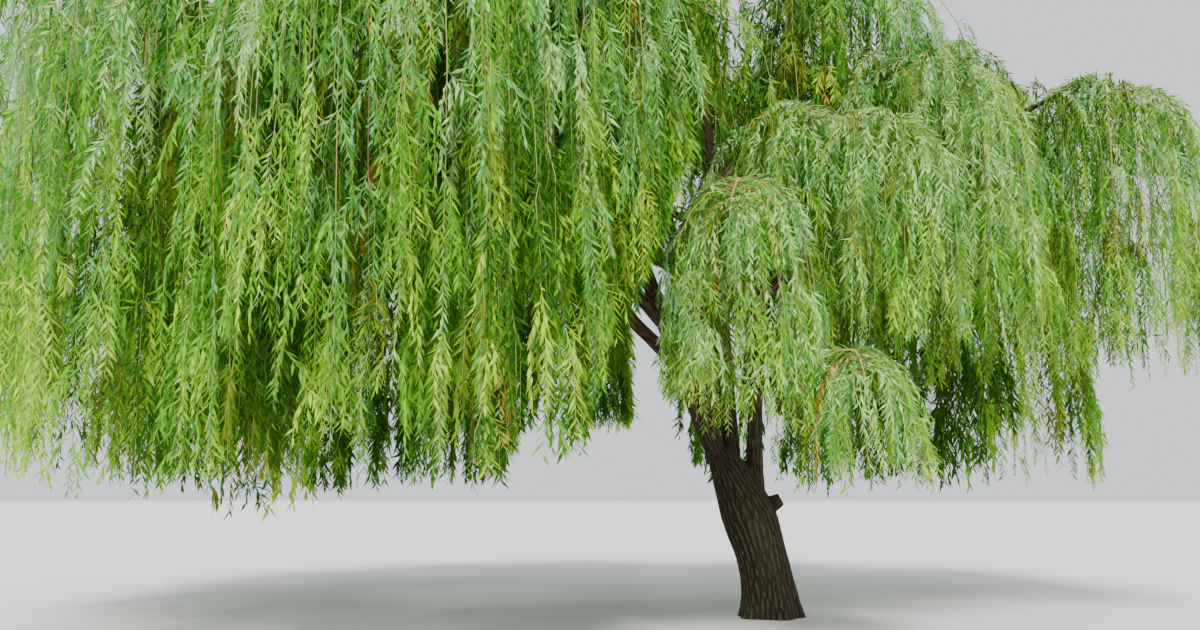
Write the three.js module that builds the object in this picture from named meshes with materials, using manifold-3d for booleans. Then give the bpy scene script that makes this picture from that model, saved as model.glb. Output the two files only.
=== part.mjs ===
// A mature weeping willow, in millimetres, +Z up.
// The origin is the centre of the flat cut under the trunk, at ground level.
// The trunk leans towards -X and forks into three stems, and boughs leave the stems. Each stem and
// bough ends where a plume of foliage begins: a leader that arches over, with twigs that weep from
// it down to a hem. The blades on them each stand for a spray of leaves.

import * as THREE from 'three';
import { mergeVertices } from 'three/addons/utils/BufferGeometryUtils.js';
import Module from 'manifold-3d';

const wasm = await Module();
wasm.setup();

const up = new THREE.Vector3( 0, 0, 1 );

// Gap between two pieces that touch on the tree.
const fitGap = 0.3;

// The trunk's middle line is upright where it leaves the ground and leans over to the fork. Its
// radius narrows steadily, swells where the stems part, and flares in buttresses at the foot.
const trunk = {
	foot: new THREE.Vector3( 0, 0, 0 ),
	footPull: new THREE.Vector3( 0, 0, 700 ),
	forkPull: new THREE.Vector3( - 260, - 30, 1400 ),
	fork: new THREE.Vector3( - 640, - 60, 2150 ),
	footRadius: 365,
	forkRadius: 215,
	swell: 75,
	swellHeight: 1330,
	swellReach: 420,
	flare: 100,
	flareHeight: 240,
	buttresses: 5,
	roundedFrom: 0.82,
	endRadius: 120,
	sides: 14,
	rings: 13,
	ringBias: 1.25,
	keptOff: 450,
};

// The stump of a lost limb, on the right of the trunk.
const stump = {
	height: 1300,
	bearing: THREE.MathUtils.degToRad( - 12 ),
	rise: THREE.MathUtils.degToRad( 28 ),
	reach: 480,
	radius: 105,
	wornRadius: 74,
	wornFrom: 0.8,
	sides: 8,
};

// The three stems: the plume that each ends in, where it parts from the trunk, its first
// direction, its radius, and how much of it the trunk keeps.
const stems = [
	{
		name: 'left',
		plume: 'upper_left',
		start: new THREE.Vector3( - 450, - 40, 1650 ),
		lean: new THREE.Vector3( - 0.6, - 0.1, 1 ),
		radius: 145,
		stub: 1050,
	},
	{
		name: 'middle',
		plume: 'top',
		start: new THREE.Vector3( - 420, 40, 1650 ),
		lean: new THREE.Vector3( - 0.08, 0.22, 1 ),
		radius: 125,
		stub: 1000,
	},
	{
		name: 'right',
		plume: 'upper_right',
		start: new THREE.Vector3( - 120, - 20, 1380 ),
		lean: new THREE.Vector3( - 0.22, - 0.14, 1 ),
		radius: 120,
		stub: 1080,
	},
];

// The plumes of foliage. Each hangs round an upright line at x, y, from top down to hem, and
// spreads that far to its sides. from and at say which stem carries its bough, and how far up.
const plumes = [
	{ name: 'upper_left', x: - 5000, y: - 800, top: 9800, hem: 5000, spread: 1900 },
	{ name: 'top', x: - 1900, y: 700, top: 11200, hem: 6600, spread: 2000 },
	{ name: 'upper_right', x: 1500, y: 600, top: 9700, hem: 4600, spread: 1750 },
	{ name: 'left_front', from: 'left', at: 0.2, x: - 6800, y: - 3900, top: 8400, hem: 1100, spread: 1950 },
	{ name: 'front_left', from: 'left', at: 0.27, x: - 4200, y: - 5000, top: 8300, hem: 1500, spread: 1700 },
	{ name: 'far_left', from: 'left', at: 0.36, x: - 8400, y: - 1000, top: 8300, hem: 1600, spread: 1850 },
	{ name: 'left_back', from: 'left', at: 0.47, x: - 8000, y: 2500, top: 7900, hem: 1500, spread: 1900 },
	{ name: 'left_inner', from: 'left', at: 0.58, x: - 6500, y: 900, top: 8900, hem: 4600, spread: 1500 },
	{ name: 'front_middle', from: 'middle', at: 0.2, x: - 2900, y: - 4200, top: 8300, hem: 1900, spread: 1150 },
	{ name: 'inner_front', from: 'middle', at: 0.69, x: - 1700, y: - 3400, top: 8000, hem: 3100, spread: 950 },
	{ name: 'back_left', from: 'middle', at: 0.27, x: - 5700, y: 5100, top: 7700, hem: 1400, spread: 1900 },
	{ name: 'back_middle', from: 'middle', at: 0.34, x: - 3200, y: 6100, top: 7900, hem: 1300, spread: 1550 },
	{ name: 'back_inner', from: 'middle', at: 0.41, x: 1500, y: 3600, top: 8800, hem: 4200, spread: 1600 },
	{ name: 'upper_front', from: 'middle', at: 0.48, x: - 2500, y: - 2100, top: 9900, hem: 5000, spread: 1800 },
	{ name: 'upper_rear', from: 'middle', at: 0.55, x: - 4300, y: 2600, top: 9500, hem: 4800, spread: 1800 },
	{ name: 'upper_back', from: 'middle', at: 0.62, x: - 1200, y: 3400, top: 9600, hem: 4800, spread: 1800 },
	{ name: 'low_dome', from: 'right', at: 0.17, x: 550, y: - 3000, top: 3500, hem: 1550, spread: 800 },
	{ name: 'back_right', from: 'right', at: 0.23, x: 900, y: 5800, top: 7700, hem: 1500, spread: 1750 },
	{ name: 'trunk_dome', from: 'right', at: 0.29, x: - 560, y: - 2700, top: 5500, hem: 2500, spread: 1000 },
	{ name: 'right_back', from: 'right', at: 0.35, x: 3900, y: 3600, top: 7600, hem: 1500, spread: 1800 },
	{ name: 'front_dome', from: 'right', at: 0.41, x: 150, y: - 1900, top: 6700, hem: 3900, spread: 950 },
	{ name: 'far_right', from: 'right', at: 0.47, x: 4800, y: - 200, top: 7500, hem: 3000, spread: 1300 },
	{ name: 'middle_dome', from: 'right', at: 0.53, x: 1000, y: - 2600, top: 6350, hem: 3500, spread: 850 },
	{ name: 'right_dome', from: 'right', at: 0.59, x: 2200, y: - 1200, top: 7500, hem: 2900, spread: 1250 },
	{ name: 'right_inner', from: 'right', at: 0.66, x: 3100, y: 1500, top: 8600, hem: 4200, spread: 1500 },
];

// The two kinds of limb. The pulls shape its curve at both ends, and sway swings it to a side.
// A bough's first radius is a share of its stem's, and it sets off between its stem's direction
// and the way out to its plume.
const stem = {
	prefix: 'stem_',
	tipRadius: 38,
	startPull: 0.15,
	tipPull: 0.45,
	sway: 0,
	sides: 8,
	rings: 8,
};
const bough = {
	prefix: 'bough_',
	tipRadius: 32,
	startPull: 0.3,
	tipPull: 0.4,
	sway: 0.3,
	sides: 6,
	rings: 5,
};
const boughStart = { radiusShare: 0.8, outward: 0.95 };

// A limb narrows as share to this power, and is followed by points this far apart.
const taperPower = 0.85;
const sampleStep = 60;

// Where a limb ends in its plume: this share of the spread before the plume's line, this far
// under its top, and at this slope. The inset gives way by steps until the tip has its room.
const entry = { inset: 0.45, insetStep: 0.05, room: 260, drop: 420, slope: THREE.MathUtils.degToRad( 32 ) };

// The leader runs on from its limb. Its bend and length are shares of the plume's spread.
const leader = { bend: 0.6, length: 1.7, tipRadius: 15, sides: 4, rings: 8, freeStart: 300 };

// Twigs leave the leader from its start to lastFrom, turned from backward to forward in plan.
// bend is a share of the plume's spread, and narrowing is what a twig that doesn't fit makes of it.
const twig = {
	spacing: 290,
	firstFrom: 0.08,
	lastFrom: 0.55,
	backward: THREE.MathUtils.degToRad( 155 ),
	forward: THREE.MathUtils.degToRad( 25 ),
	rise: [ THREE.MathUtils.degToRad( 10 ), THREE.MathUtils.degToRad( 50 ) ],
	bend: [ 0.3, 0.9 ],
	narrowing: 0.85,
	narrowest: 0.12,
	radius: 18,
	tipRadius: 9,
	sides: 3,
	rings: 5,
	shortest: 900,
	freeStart: 200,
	step: 60,
};

// A blade is flat and pointed, and widest at its belly. Blades stand pitch apart, each turned off
// its twig by the first of the splays that is free, and clear at each of the places tested. They
// may reach a little beyond their plume's spread.
const blade = {
	length: 1500,
	width: 320,
	thickness: 34,
	belly: 0.36,
	pitch: 3800,
	firstAt: 420,
	splays: [ 0.8, - 0.8, 0.35 ],
	hang: 0.5,
	beyond: 250,
	swivel: 1,
	size: [ 0.9, 1.15 ],
	tipSize: [ 0.65, 0.9 ],
	tipSunk: 160,
	tested: [ 0.2, 0.36, 0.5, 0.65, 0.8, 1 ],
};

// A twig ends this far above its plume's hem, so that the blade on its tip reaches the hem.
const hemRoom = [ 1000, 2200 ];

// A plume this tall has blades of the full size. Lower ones have smaller blades, to leastScale.
const fullHeight = 4200;
const leastScale = 0.55;

// The rings of a shoot's tube stand at i / rings to this power of its length.
const ringBias = 1.7;

// Room kept free between two plumes, and between foliage and limbs.
const plumeMargin = 135;
const limbMargin = 60;

// Edges shorter or flatter than this go when pieces are joined.
const faceting = { wood: 0.4, foliage: 0.5 };

const barkMaterial = new THREE.MeshStandardMaterial( { color: 0x4b3a2b, roughness: 0.92, metalness: 0 } );
const boughMaterial = new THREE.MeshStandardMaterial( { color: 0x5b4a35, roughness: 0.88, metalness: 0 } );
const foliageMaterial = new THREE.MeshStandardMaterial( { color: 0x7d9f3f, roughness: 0.6, metalness: 0 } );
const silverMaterial = new THREE.MeshStandardMaterial( { color: 0x8fae74, roughness: 0.6, metalness: 0 } );

// A number from 0 to 1 that is always the same for one seed and one turn.
function draw( seed, turn ) {

	const value = Math.sin( seed * 12.9898 + turn * 78.233 ) * 43758.5453;
	return value - Math.floor( value );

}

function between( low, high, share ) {

	return low + ( high - low ) * share;

}

// Solids

function solidOf( geometry ) {

	const bare = geometry.clone();
	bare.deleteAttribute( 'normal' );
	bare.deleteAttribute( 'uv' );
	const merged = mergeVertices( bare, 1e-3 );
	return new wasm.Manifold( new wasm.Mesh( {
		numProp: 3,
		vertProperties: merged.attributes.position.array,
		triVerts: new Uint32Array( merged.index.array ),
	} ) );

}

// The largest closed body of a solid, without edges that shape it by less than the tolerance.
function largestBody( solid, tolerance ) {

	const bodies = solid.asOriginal().simplify( tolerance ).decompose();
	return bodies.reduce( ( best, body ) => body.volume() > best.volume() ? body : best );

}

function geometryOf( solid ) {

	const mesh = solid.getMesh();
	const geometry = new THREE.BufferGeometry();
	geometry.setAttribute( 'position', new THREE.BufferAttribute( mesh.vertProperties, 3 ) );
	geometry.setIndex( new THREE.BufferAttribute( mesh.triVerts, 1 ) );
	geometry.computeVertexNormals();
	return geometry;

}

// A closed tube through stations of { point, along, radius }. Its rings turn about side, and
// shape changes the radius by the angle round a ring and the ring's middle.
function tubeSolid( stations, side, sides, shape = () => 1 ) {

	const segments = stations.length - 1;
	const geometry = new THREE.CylinderGeometry( 1, 1, 1, sides, segments );
	const position = geometry.attributes.position;
	const local = new THREE.Vector3();
	for ( let i = 0; i < position.count; i ++ ) {

		local.fromBufferAttribute( position, i );
		const { point, along, radius } = stations[ Math.round( ( local.y + 0.5 ) * segments ) ];
		const across = side.clone().addScaledVector( along, - side.dot( along ) ).normalize();
		const outward = across.clone().cross( along );
		const reach = radius * shape( Math.atan2( local.z, local.x ), point );
		const placed = point.clone()
			.addScaledVector( across, local.x * reach )
			.addScaledVector( outward, local.z * reach );
		position.setXYZ( i, placed.x, placed.y, placed.z );

	}

	return solidOf( geometry );

}

// A pointed blade of eight faces from root along direction, flat towards facing.
function bladeSolid( root, direction, facing, size ) {

	const geometry = new THREE.OctahedronGeometry( 1, 0 );
	const position = geometry.attributes.position;
	const across = direction.clone().cross( facing ).normalize();
	const through = across.clone().cross( direction );
	for ( let i = 0; i < position.count; i ++ ) {

		const end = Math.round( position.getY( i ) );
		const share = end === 0 ? blade.belly : ( end + 1 ) / 2;
		const placed = root.clone()
			.addScaledVector( direction, blade.length * size * share )
			.addScaledVector( across, position.getX( i ) * blade.width * size / 2 )
			.addScaledVector( through, position.getZ( i ) * blade.thickness * size / 2 );
		position.setXYZ( i, placed.x, placed.y, placed.z );

	}

	return solidOf( geometry );

}

// The space of each plume

function lineDistance( plume, point ) {

	const z = THREE.MathUtils.clamp( point.z, plume.hem, plume.top );
	return Math.hypot( point.x - plume.x, point.y - plume.y, point.z - z );

}

// A plume's space is what lies within its spread of its upright line, under its top, and nearer to
// that line than to any other plume's.
function owns( plume, point, margin, beyond = 0 ) {

	const own = lineDistance( plume, point );
	if ( own > plume.spread + beyond || point.z > plume.top ) return false;
	return plumes.every( ( other ) => other === plume || lineDistance( other, point ) - own > 2 * margin );

}

function clearOf( samples, point, margin ) {

	return samples.every( ( sample ) => sample.point.distanceTo( point ) > sample.radius + margin );

}

// Limbs

function flatBearing( from, to ) {

	return new THREE.Vector3( to.x - from.x, to.y - from.y, 0 ).normalize();

}

function tipIn( plume, bearing ) {

	const head = new THREE.Vector3( plume.x, plume.y, plume.top - entry.drop );
	let inset = entry.inset;
	let tip = head.clone().addScaledVector( bearing, - plume.spread * inset );
	while ( inset > 0 && ! owns( plume, tip, entry.room ) ) {

		inset -= entry.insetStep;
		tip = head.clone().addScaledVector( bearing, - plume.spread * inset );

	}

	return tip;

}

// A limb is a curve from its start into its plume, with a radius that tapers along it.
function growLimb( plume, name, start, direction, baseRadius, kind ) {

	const bearing = flatBearing( start, plume );
	const side = bearing.clone().cross( up );
	const tip = tipIn( plume, bearing );
	const slope = bearing.clone().multiplyScalar( Math.cos( entry.slope ) )
		.addScaledVector( up, Math.sin( entry.slope ) );
	const reach = Math.hypot( tip.x - start.x, tip.y - start.y );
	const aside = draw( plumes.indexOf( plume ), 7 ) - 0.5;
	const swing = side.clone().multiplyScalar( reach * kind.sway * aside );
	const startPull = start.clone().add( swing )
		.addScaledVector( direction, start.distanceTo( tip ) * kind.startPull );
	const tipPull = tip.clone().sub( swing )
		.addScaledVector( slope, - reach * kind.tipPull );
	const curve = new THREE.CubicBezierCurve3( start, startPull, tipPull, tip );
	return { name, plume, kind, curve, length: curve.getLength(), baseRadius, side, stub: 0, children: [] };

}

function limbRadius( limb, share ) {

	return between( limb.baseRadius, limb.kind.tipRadius, Math.pow( share, taperPower ) );

}

function limbStations( limb, from, to, rings ) {

	const stations = [];
	for ( let i = 0; i <= rings; i ++ ) {

		const share = between( from, to, i / rings );
		stations.push( {
			point: limb.curve.getPointAt( share ),
			along: limb.curve.getTangentAt( share ),
			radius: limbRadius( limb, share ),
		} );

	}

	return stations;

}

// The start of a limb that its carrier keeps, from the carrier's middle to a flat cut.
function stubSolid( limb ) {

	return tubeSolid( limbStations( limb, 0, limb.stub / limb.length, 2 ), limb.side, limb.kind.sides );

}

function limbSolid( limb ) {

	const start = ( limb.stub + fitGap ) / limb.length;
	const own = tubeSolid( limbStations( limb, start, 1, limb.kind.rings ), limb.side, limb.kind.sides );
	const joined = limb.children.reduce( ( solid, child ) => solid.add( stubSolid( child ) ), own );
	return largestBody( joined, faceting.wood );

}

function growStems() {

	return stems.map( ( { name, plume, start, lean, radius, stub } ) => {

		const ownPlume = plumes.find( ( one ) => one.name === plume );
		const limb = growLimb( ownPlume, name, start, lean.clone().normalize(), radius, stem );
		limb.stub = stub;
		return limb;

	} );

}

// A bough's stub ends where the bough is clear of its stem's bark, a tenth of a radius to spare.
function growBough( plume, carrier ) {

	const start = carrier.curve.getPointAt( plume.at );
	const along = carrier.curve.getTangentAt( plume.at );
	const direction = along.clone()
		.addScaledVector( flatBearing( start, plume ), boughStart.outward ).normalize();
	const carrierRadius = limbRadius( carrier, plume.at );
	const radius = carrierRadius * boughStart.radiusShare;
	const limb = growLimb( plume, plume.name, start, direction, radius, bough );
	const angle = along.angleTo( direction );
	limb.stub = 1.1 * ( carrierRadius + radius * Math.cos( angle ) ) / Math.sin( angle );
	carrier.children.push( limb );
	return limb;

}

// The trunk

const trunkCurve = new THREE.CubicBezierCurve3( trunk.foot, trunk.footPull, trunk.forkPull, trunk.fork );

function trunkStation( share ) {

	const point = trunkCurve.getPoint( share );
	const offSwell = ( point.z - trunk.swellHeight ) / trunk.swellReach;
	const full = between( trunk.footRadius, trunk.forkRadius, point.z / trunk.fork.z )
		+ trunk.swell * Math.exp( - offSwell * offSwell );
	const intoEnd = Math.max( 0, share - trunk.roundedFrom ) / ( 1 - trunk.roundedFrom );
	const radius = between( trunk.endRadius, full, Math.sqrt( 1 - intoEnd * intoEnd ) );
	return { point, along: trunkCurve.getTangent( share ), radius };

}

// The buttresses stand out in lobes round the foot and fade with height.
function buttress( angle, point ) {

	const lobe = 0.55 + 0.45 * Math.cos( trunk.buttresses * angle );
	return 1 + trunk.flare / trunk.footRadius * lobe * Math.exp( - point.z / trunk.flareHeight );

}

function trunkSolid( carried ) {

	const stations = [];
	for ( let i = 0; i <= trunk.rings; i ++ ) {

		stations.push( trunkStation( Math.pow( i / trunk.rings, trunk.ringBias ) ) );

	}

	const own = tubeSolid( stations, new THREE.Vector3( 1, 0, 0 ), trunk.sides, buttress );
	const joined = carried.reduce( ( solid, limb ) => solid.add( stubSolid( limb ) ), own );
	return largestBody( joined.add( stumpSolid() ), faceting.wood );

}

function stumpSolid() {

	const from = trunkCurve.getPoint( stump.height / trunk.fork.z );
	const along = new THREE.Vector3( Math.cos( stump.rise ), 0, Math.sin( stump.rise ) )
		.applyAxisAngle( up, stump.bearing );
	const stations = [ 0, stump.wornFrom, 1 ].map( ( share ) => ( {
		point: from.clone().addScaledVector( along, stump.reach * share ),
		along,
		radius: share < 1 ? stump.radius : stump.wornRadius,
	} ) );
	return tubeSolid( stations, new THREE.Vector3( 0, 1, 0 ), stump.sides );

}

// Foliage

// A shoot that weeps: its slope turns from rise to straight down, as exp( - distance / bend ).
function weepingShoot( start, bearing, rise, bend, length ) {

	const shoot = [];
	const point = start.clone();
	for ( let run = 0; run <= length; run += twig.step ) {

		const angle = ( rise + Math.PI / 2 ) * Math.exp( - ( run + twig.step / 2 ) / bend ) - Math.PI / 2;
		const along = bearing.clone().multiplyScalar( Math.cos( angle ) )
			.addScaledVector( up, Math.sin( angle ) );
		shoot.push( { point: point.clone(), along } );
		point.addScaledVector( along, twig.step );

	}

	return shoot;

}

// A shoot is cut off where it would leave its plume's space, touch a limb or pass below low.
function trimmedShoot( plume, shoot, low, samples, freeStart ) {

	const end = shoot.findIndex( ( { point }, i ) => i > 0 && (
		point.z < low
		|| ! owns( plume, point, plumeMargin )
		|| i * twig.step > freeStart && ! clearOf( samples, point, limbMargin )
	) );
	return end < 0 ? shoot : shoot.slice( 0, end );

}

// The stations of a tube along a shoot, closer together where it arches.
function shootStations( shoot, rings, baseRadius, tipRadius ) {

	const stations = [];
	for ( let i = 0; i <= rings; i ++ ) {

		const share = Math.pow( i / rings, ringBias );
		const { point, along } = shoot[ Math.round( ( shoot.length - 1 ) * share ) ];
		stations.push( { point, along, radius: between( baseRadius, tipRadius, share ) } );

	}

	return stations;

}

// The middle of such a tube at a share of its length, straight between two stations.
function onTube( stations, share ) {

	const rings = stations.length - 1;
	const before = Math.min( rings - 1, Math.floor( rings * Math.pow( share, 1 / ringBias ) ) );
	const [ low, high ] = [ before, before + 1 ].map( ( i ) => Math.pow( i / rings, ringBias ) );
	return stations[ before ].point.clone()
		.lerp( stations[ before + 1 ].point, ( share - low ) / ( high - low ) );

}

function scaleOf( plume ) {

	return THREE.MathUtils.clamp( ( plume.top - plume.hem ) / fullHeight, leastScale, 1 );

}

// A twig tries a wide arch first, then narrower ones, until one hangs free down to its end.
function fittedTwig( plume, from, bearing, seed, samples ) {

	const rise = between( ...twig.rise, draw( seed, 3 ) );
	const low = plume.hem + between( ...hemRoom, draw( seed, 5 ) ) * scaleOf( plume );
	let longest = [];
	let bend = between( ...twig.bend, draw( seed, 4 ) );
	while ( bend > twig.narrowest ) {

		const full = weepingShoot( from, bearing, rise, plume.spread * bend, from.z + plume.spread - low );
		const shoot = trimmedShoot( plume, full, low, samples, twig.freeStart );
		if ( shoot.length > longest.length ) longest = shoot;
		if ( shoot.at( - 1 ).point.z < low + 2 * twig.step ) break;
		bend *= twig.narrowing;

	}

	return longest;

}

function bladeFits( plume, root, direction, size, samples ) {

	return blade.tested.every( ( share ) => {

		const point = root.clone().addScaledVector( direction, blade.length * size * share );
		const narrowed = Math.min( share / blade.belly, ( 1 - share ) / ( 1 - blade.belly ) );
		const halfWidth = blade.width * size / 2 * narrowed;
		return owns( plume, point, ( plumeMargin + halfWidth ) / 2, blade.beyond )
			&& clearOf( samples, point, limbMargin + halfWidth );

	} );

}

// Blades along a shoot, in turn on its outer and inner face, and a smaller one on its tip.
function bladesOn( plume, shoot, stations, bearing, seed, samples ) {

	const scale = scaleOf( plume );
	const length = twig.step * ( shoot.length - 1 );
	const firstAt = blade.firstAt * scale;
	const count = Math.max( 1, Math.round( ( length - firstAt ) / ( blade.pitch * scale ) ) );
	const blades = [];
	for ( let i = 0; i <= count; i ++ ) {

		const onTip = i === count;
		const share = between( Math.min( 1, firstAt / length ), 1, i / count );
		const point = onTube( stations, share );
		const along = shoot[ Math.round( share * ( shoot.length - 1 ) ) ].along;
		const turn = ( i % 2 ) * Math.PI + between( - blade.swivel, blade.swivel, draw( seed, i ) );
		const facing = bearing.clone().applyAxisAngle( up, turn );
		const size = scale * between( ...( onTip ? blade.tipSize : blade.size ), draw( seed, i + 40 ) );
		const directions = ( onTip ? [ 0 ] : blade.splays ).map( ( splay ) => along.clone()
			.addScaledVector( up, - blade.hang ).addScaledVector( facing, splay ).normalize() );
		const direction = directions.find( ( one ) => bladeFits( plume, point, one, size, samples ) );
		if ( ! direction ) continue;
		const root = point.clone().addScaledVector( direction, onTip ? - blade.tipSunk : 0 );
		blades.push( bladeSolid( root, direction, facing, size ) );

	}

	return blades;

}

// One plume: its leader, then twigs to both sides in turn, each with its blades.
function plumeSolid( limb, samples ) {

	const plume = limb.plume;
	const plumeSeed = plumes.indexOf( plume ) * 17;
	const tangent = limb.curve.getTangentAt( 1 );
	const start = limb.curve.getPointAt( 1 ).addScaledVector( tangent, fitGap );
	const bearing = flatBearing( new THREE.Vector3(), tangent );
	const length = plume.spread * leader.length;
	const arch = weepingShoot( start, bearing, entry.slope, plume.spread * leader.bend, length );
	const main = trimmedShoot( plume, arch, plume.hem, samples, leader.freeStart );
	main[ 0 ].along = tangent;
	const mainStations = shootStations( main, leader.rings, limb.kind.tipRadius, leader.tipRadius );
	const pieces = [
		tubeSolid( mainStations, bearing.clone().cross( up ), leader.sides ),
		...bladesOn( plume, main, mainStations, bearing, plumeSeed + 0.5, samples ),
	];

	const count = Math.round( plume.spread / twig.spacing );
	for ( let i = 0; i < count; i ++ ) {

		const seed = plumeSeed + 17 + i;
		const share = ( i + 0.7 * draw( seed, 1 ) ) / count;
		const from = onTube( mainStations, between( twig.firstFrom, twig.lastFrom, share ) );
		const away = between( twig.backward, twig.forward, share );
		const out = bearing.clone().applyAxisAngle( up, i % 2 ? away : - away );
		const shoot = fittedTwig( plume, from, out, seed, samples );
		if ( shoot.length * twig.step < twig.shortest * scaleOf( plume ) ) continue;
		const stations = shootStations( shoot, twig.rings, twig.radius, twig.tipRadius );
		pieces.push( tubeSolid( stations, out.clone().cross( up ), twig.sides ) );
		pieces.push( ...bladesOn( plume, shoot, stations, out, seed, samples ) );

	}

	return largestBody( wasm.Manifold.union( pieces ), faceting.foliage );

}

// The whole tree

function samplesOf( limb ) {

	return limbStations( limb, 0, 1, Math.ceil( limb.length / sampleStep ) );

}

// Points on every limb and on the trunk, but for the last stretch of the plume's own limb.
function samplesAround( limb, limbs ) {

	const tip = limb.curve.getPointAt( 1 );
	const own = samplesOf( limb ).filter( ( sample ) => sample.point.distanceTo( tip ) > twig.freeStart );
	const others = limbs.filter( ( one ) => one !== limb ).flatMap( samplesOf );
	const trunkSamples = trunkCurve.getSpacedPoints( Math.ceil( trunk.fork.z / sampleStep ) )
		.map( ( point ) => ( { point, radius: trunk.keptOff } ) );
	return [ ...own, ...others, ...trunkSamples ];

}

function addPiece( group, name, solid, material ) {

	const mesh = new THREE.Mesh( geometryOf( solid ), material );
	mesh.name = name;
	group.add( mesh );

}

const grownStems = growStems();
const grownBoughs = plumes.filter( ( plume ) => plume.from ).map( ( plume ) =>
	growBough( plume, grownStems.find( ( one ) => one.name === plume.from ) ) );
const limbs = [ ...grownStems, ...grownBoughs ];

const wood = new THREE.Group();
addPiece( wood, 'trunk', trunkSolid( grownStems ), barkMaterial );
for ( const limb of limbs ) addPiece( wood, limb.kind.prefix + limb.name, limbSolid( limb ), boughMaterial );

const foliage = new THREE.Group();
for ( const limb of limbs ) {

	const material = limb.kind === stem ? silverMaterial : foliageMaterial;
	const samples = samplesAround( limb, limbs );
	addPiece( foliage, 'foliage_' + limb.plume.name, plumeSolid( limb, samples ), material );

}

const willow = new THREE.Group();
willow.name = 'weeping_willow';
willow.add( wood, foliage );

export default willow;
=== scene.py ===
import math
import bmesh
import bpy
import numpy as np
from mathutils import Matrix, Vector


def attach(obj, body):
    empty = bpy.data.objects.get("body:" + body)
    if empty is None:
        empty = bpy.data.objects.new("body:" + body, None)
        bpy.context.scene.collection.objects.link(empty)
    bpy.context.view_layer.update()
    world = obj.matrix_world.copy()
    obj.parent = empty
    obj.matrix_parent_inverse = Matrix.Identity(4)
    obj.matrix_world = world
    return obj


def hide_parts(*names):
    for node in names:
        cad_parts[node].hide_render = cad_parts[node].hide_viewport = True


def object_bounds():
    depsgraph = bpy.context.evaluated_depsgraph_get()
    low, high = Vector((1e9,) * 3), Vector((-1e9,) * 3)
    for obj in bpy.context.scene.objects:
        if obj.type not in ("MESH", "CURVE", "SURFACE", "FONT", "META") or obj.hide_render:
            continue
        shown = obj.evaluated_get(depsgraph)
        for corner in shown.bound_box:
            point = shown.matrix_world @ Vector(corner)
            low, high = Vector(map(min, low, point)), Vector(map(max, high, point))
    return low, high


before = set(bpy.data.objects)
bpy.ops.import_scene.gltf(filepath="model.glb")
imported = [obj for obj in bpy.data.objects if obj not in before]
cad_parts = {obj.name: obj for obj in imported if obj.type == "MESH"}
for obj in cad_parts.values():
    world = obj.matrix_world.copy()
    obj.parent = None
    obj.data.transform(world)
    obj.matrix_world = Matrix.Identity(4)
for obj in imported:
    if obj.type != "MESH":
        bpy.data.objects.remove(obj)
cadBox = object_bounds()
print("frame loaded:", len(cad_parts), "nodes")

# Everything is in metres. The origin is the centre of the flat cut under the trunk, +Z is up,
# and the viewer of the photograph stands on the -Y side.

# The camera stands at eye level and looks slightly up into the crown.
viewpoint = {
    "place": (-2.2, -15.5, 1.6),
    "tiltUp": 8.62,  # degrees above the horizon
    "lens": 35.0,
    "sensor": 36.0,
}


def addCamera(settings):
    camera = bpy.data.objects.new("photoCamera", bpy.data.cameras.new("photoCamera"))
    camera.data.lens = settings["lens"]
    camera.data.sensor_width = settings["sensor"]
    camera.data.clip_end = 500
    camera.location = settings["place"]
    camera.rotation_euler = (math.radians(90 + settings["tiltUp"]), 0, 0)
    bpy.context.scene.collection.objects.link(camera)
    bpy.context.scene.camera = camera


addCamera(viewpoint)

# Small tools

up = np.array((0.0, 0.0, 1.0))
chance = np.random.default_rng(8)


def between(low, high, share):  # low + (high - low) * share
    return low + (high - low) * share


def draw(seed, turn):  # the fraction of a large sine: always the same for one seed and one turn
    value = np.sin(seed * 12.9898 + turn * 78.233) * 43758.5453
    return value - np.floor(value)


def unit(vectors):  # each vector over its own length
    return vectors / np.linalg.norm(vectors, axis=-1, keepdims=True)


def turned(vectors, angle):  # about the upright axis: (x cos - y sin, x sin + y cos, z)
    x, y, z = np.moveaxis(vectors, -1, 0)
    cos, sin = np.cos(angle), np.sin(angle)
    return np.stack((x * cos - y * sin, x * sin + y * cos, z), -1)


def flatBearing(start, end):  # the level direction from start to end
    return unit((end - start) * (1, 1, 0))


def linear(hexColour):  # sRGB hex to linear: ((c + 0.055) / 1.055) ^ 2.4, or c / 12.92 when dark
    channels = [int(hexColour[i:i + 2], 16) / 255 for i in (1, 3, 5)]
    curved = [((c + 0.055) / 1.055) ** 2.4 if c > 0.04045 else c / 12.92 for c in channels]
    return (*curved, 1.0)


def addNode(tree, kind, settings=None, links=None):
    # Adds one node. settings go to its sockets or properties, links to its sockets, all by name
    # or number.
    node = tree.nodes.new(kind)
    for name, value in (settings or {}).items():
        if isinstance(name, int) or name in node.inputs:
            node.inputs[name].default_value = value
        else:
            setattr(node, name, value)
    for name, source in (links or {}).items():
        tree.links.new(source, node.inputs[name])
    return node


def addPiece(name, places, faces, materials, faceMaterials=None, smooth=False):
    # places is a list of points, faces an array with one row of corners for each face.
    mesh = bpy.data.meshes.new(name)
    corners = faces.shape[1]
    mesh.vertices.add(len(places))
    mesh.vertices.foreach_set("co", places.astype(np.float32).ravel())
    mesh.loops.add(faces.size)
    mesh.loops.foreach_set("vertex_index", faces.astype(np.int32).ravel())
    mesh.polygons.add(len(faces))
    mesh.polygons.foreach_set("loop_start", np.arange(0, faces.size, corners, dtype=np.int32))
    mesh.polygons.foreach_set("use_smooth", np.full(len(faces), smooth))
    for material in materials:
        mesh.materials.append(material)
    if faceMaterials is not None:
        mesh.polygons.foreach_set("material_index", faceMaterials.astype(np.int32))
    mesh.update(calc_edges=True)
    piece = bpy.data.objects.new(name, mesh)
    bpy.context.scene.collection.objects.link(piece)
    return piece


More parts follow.
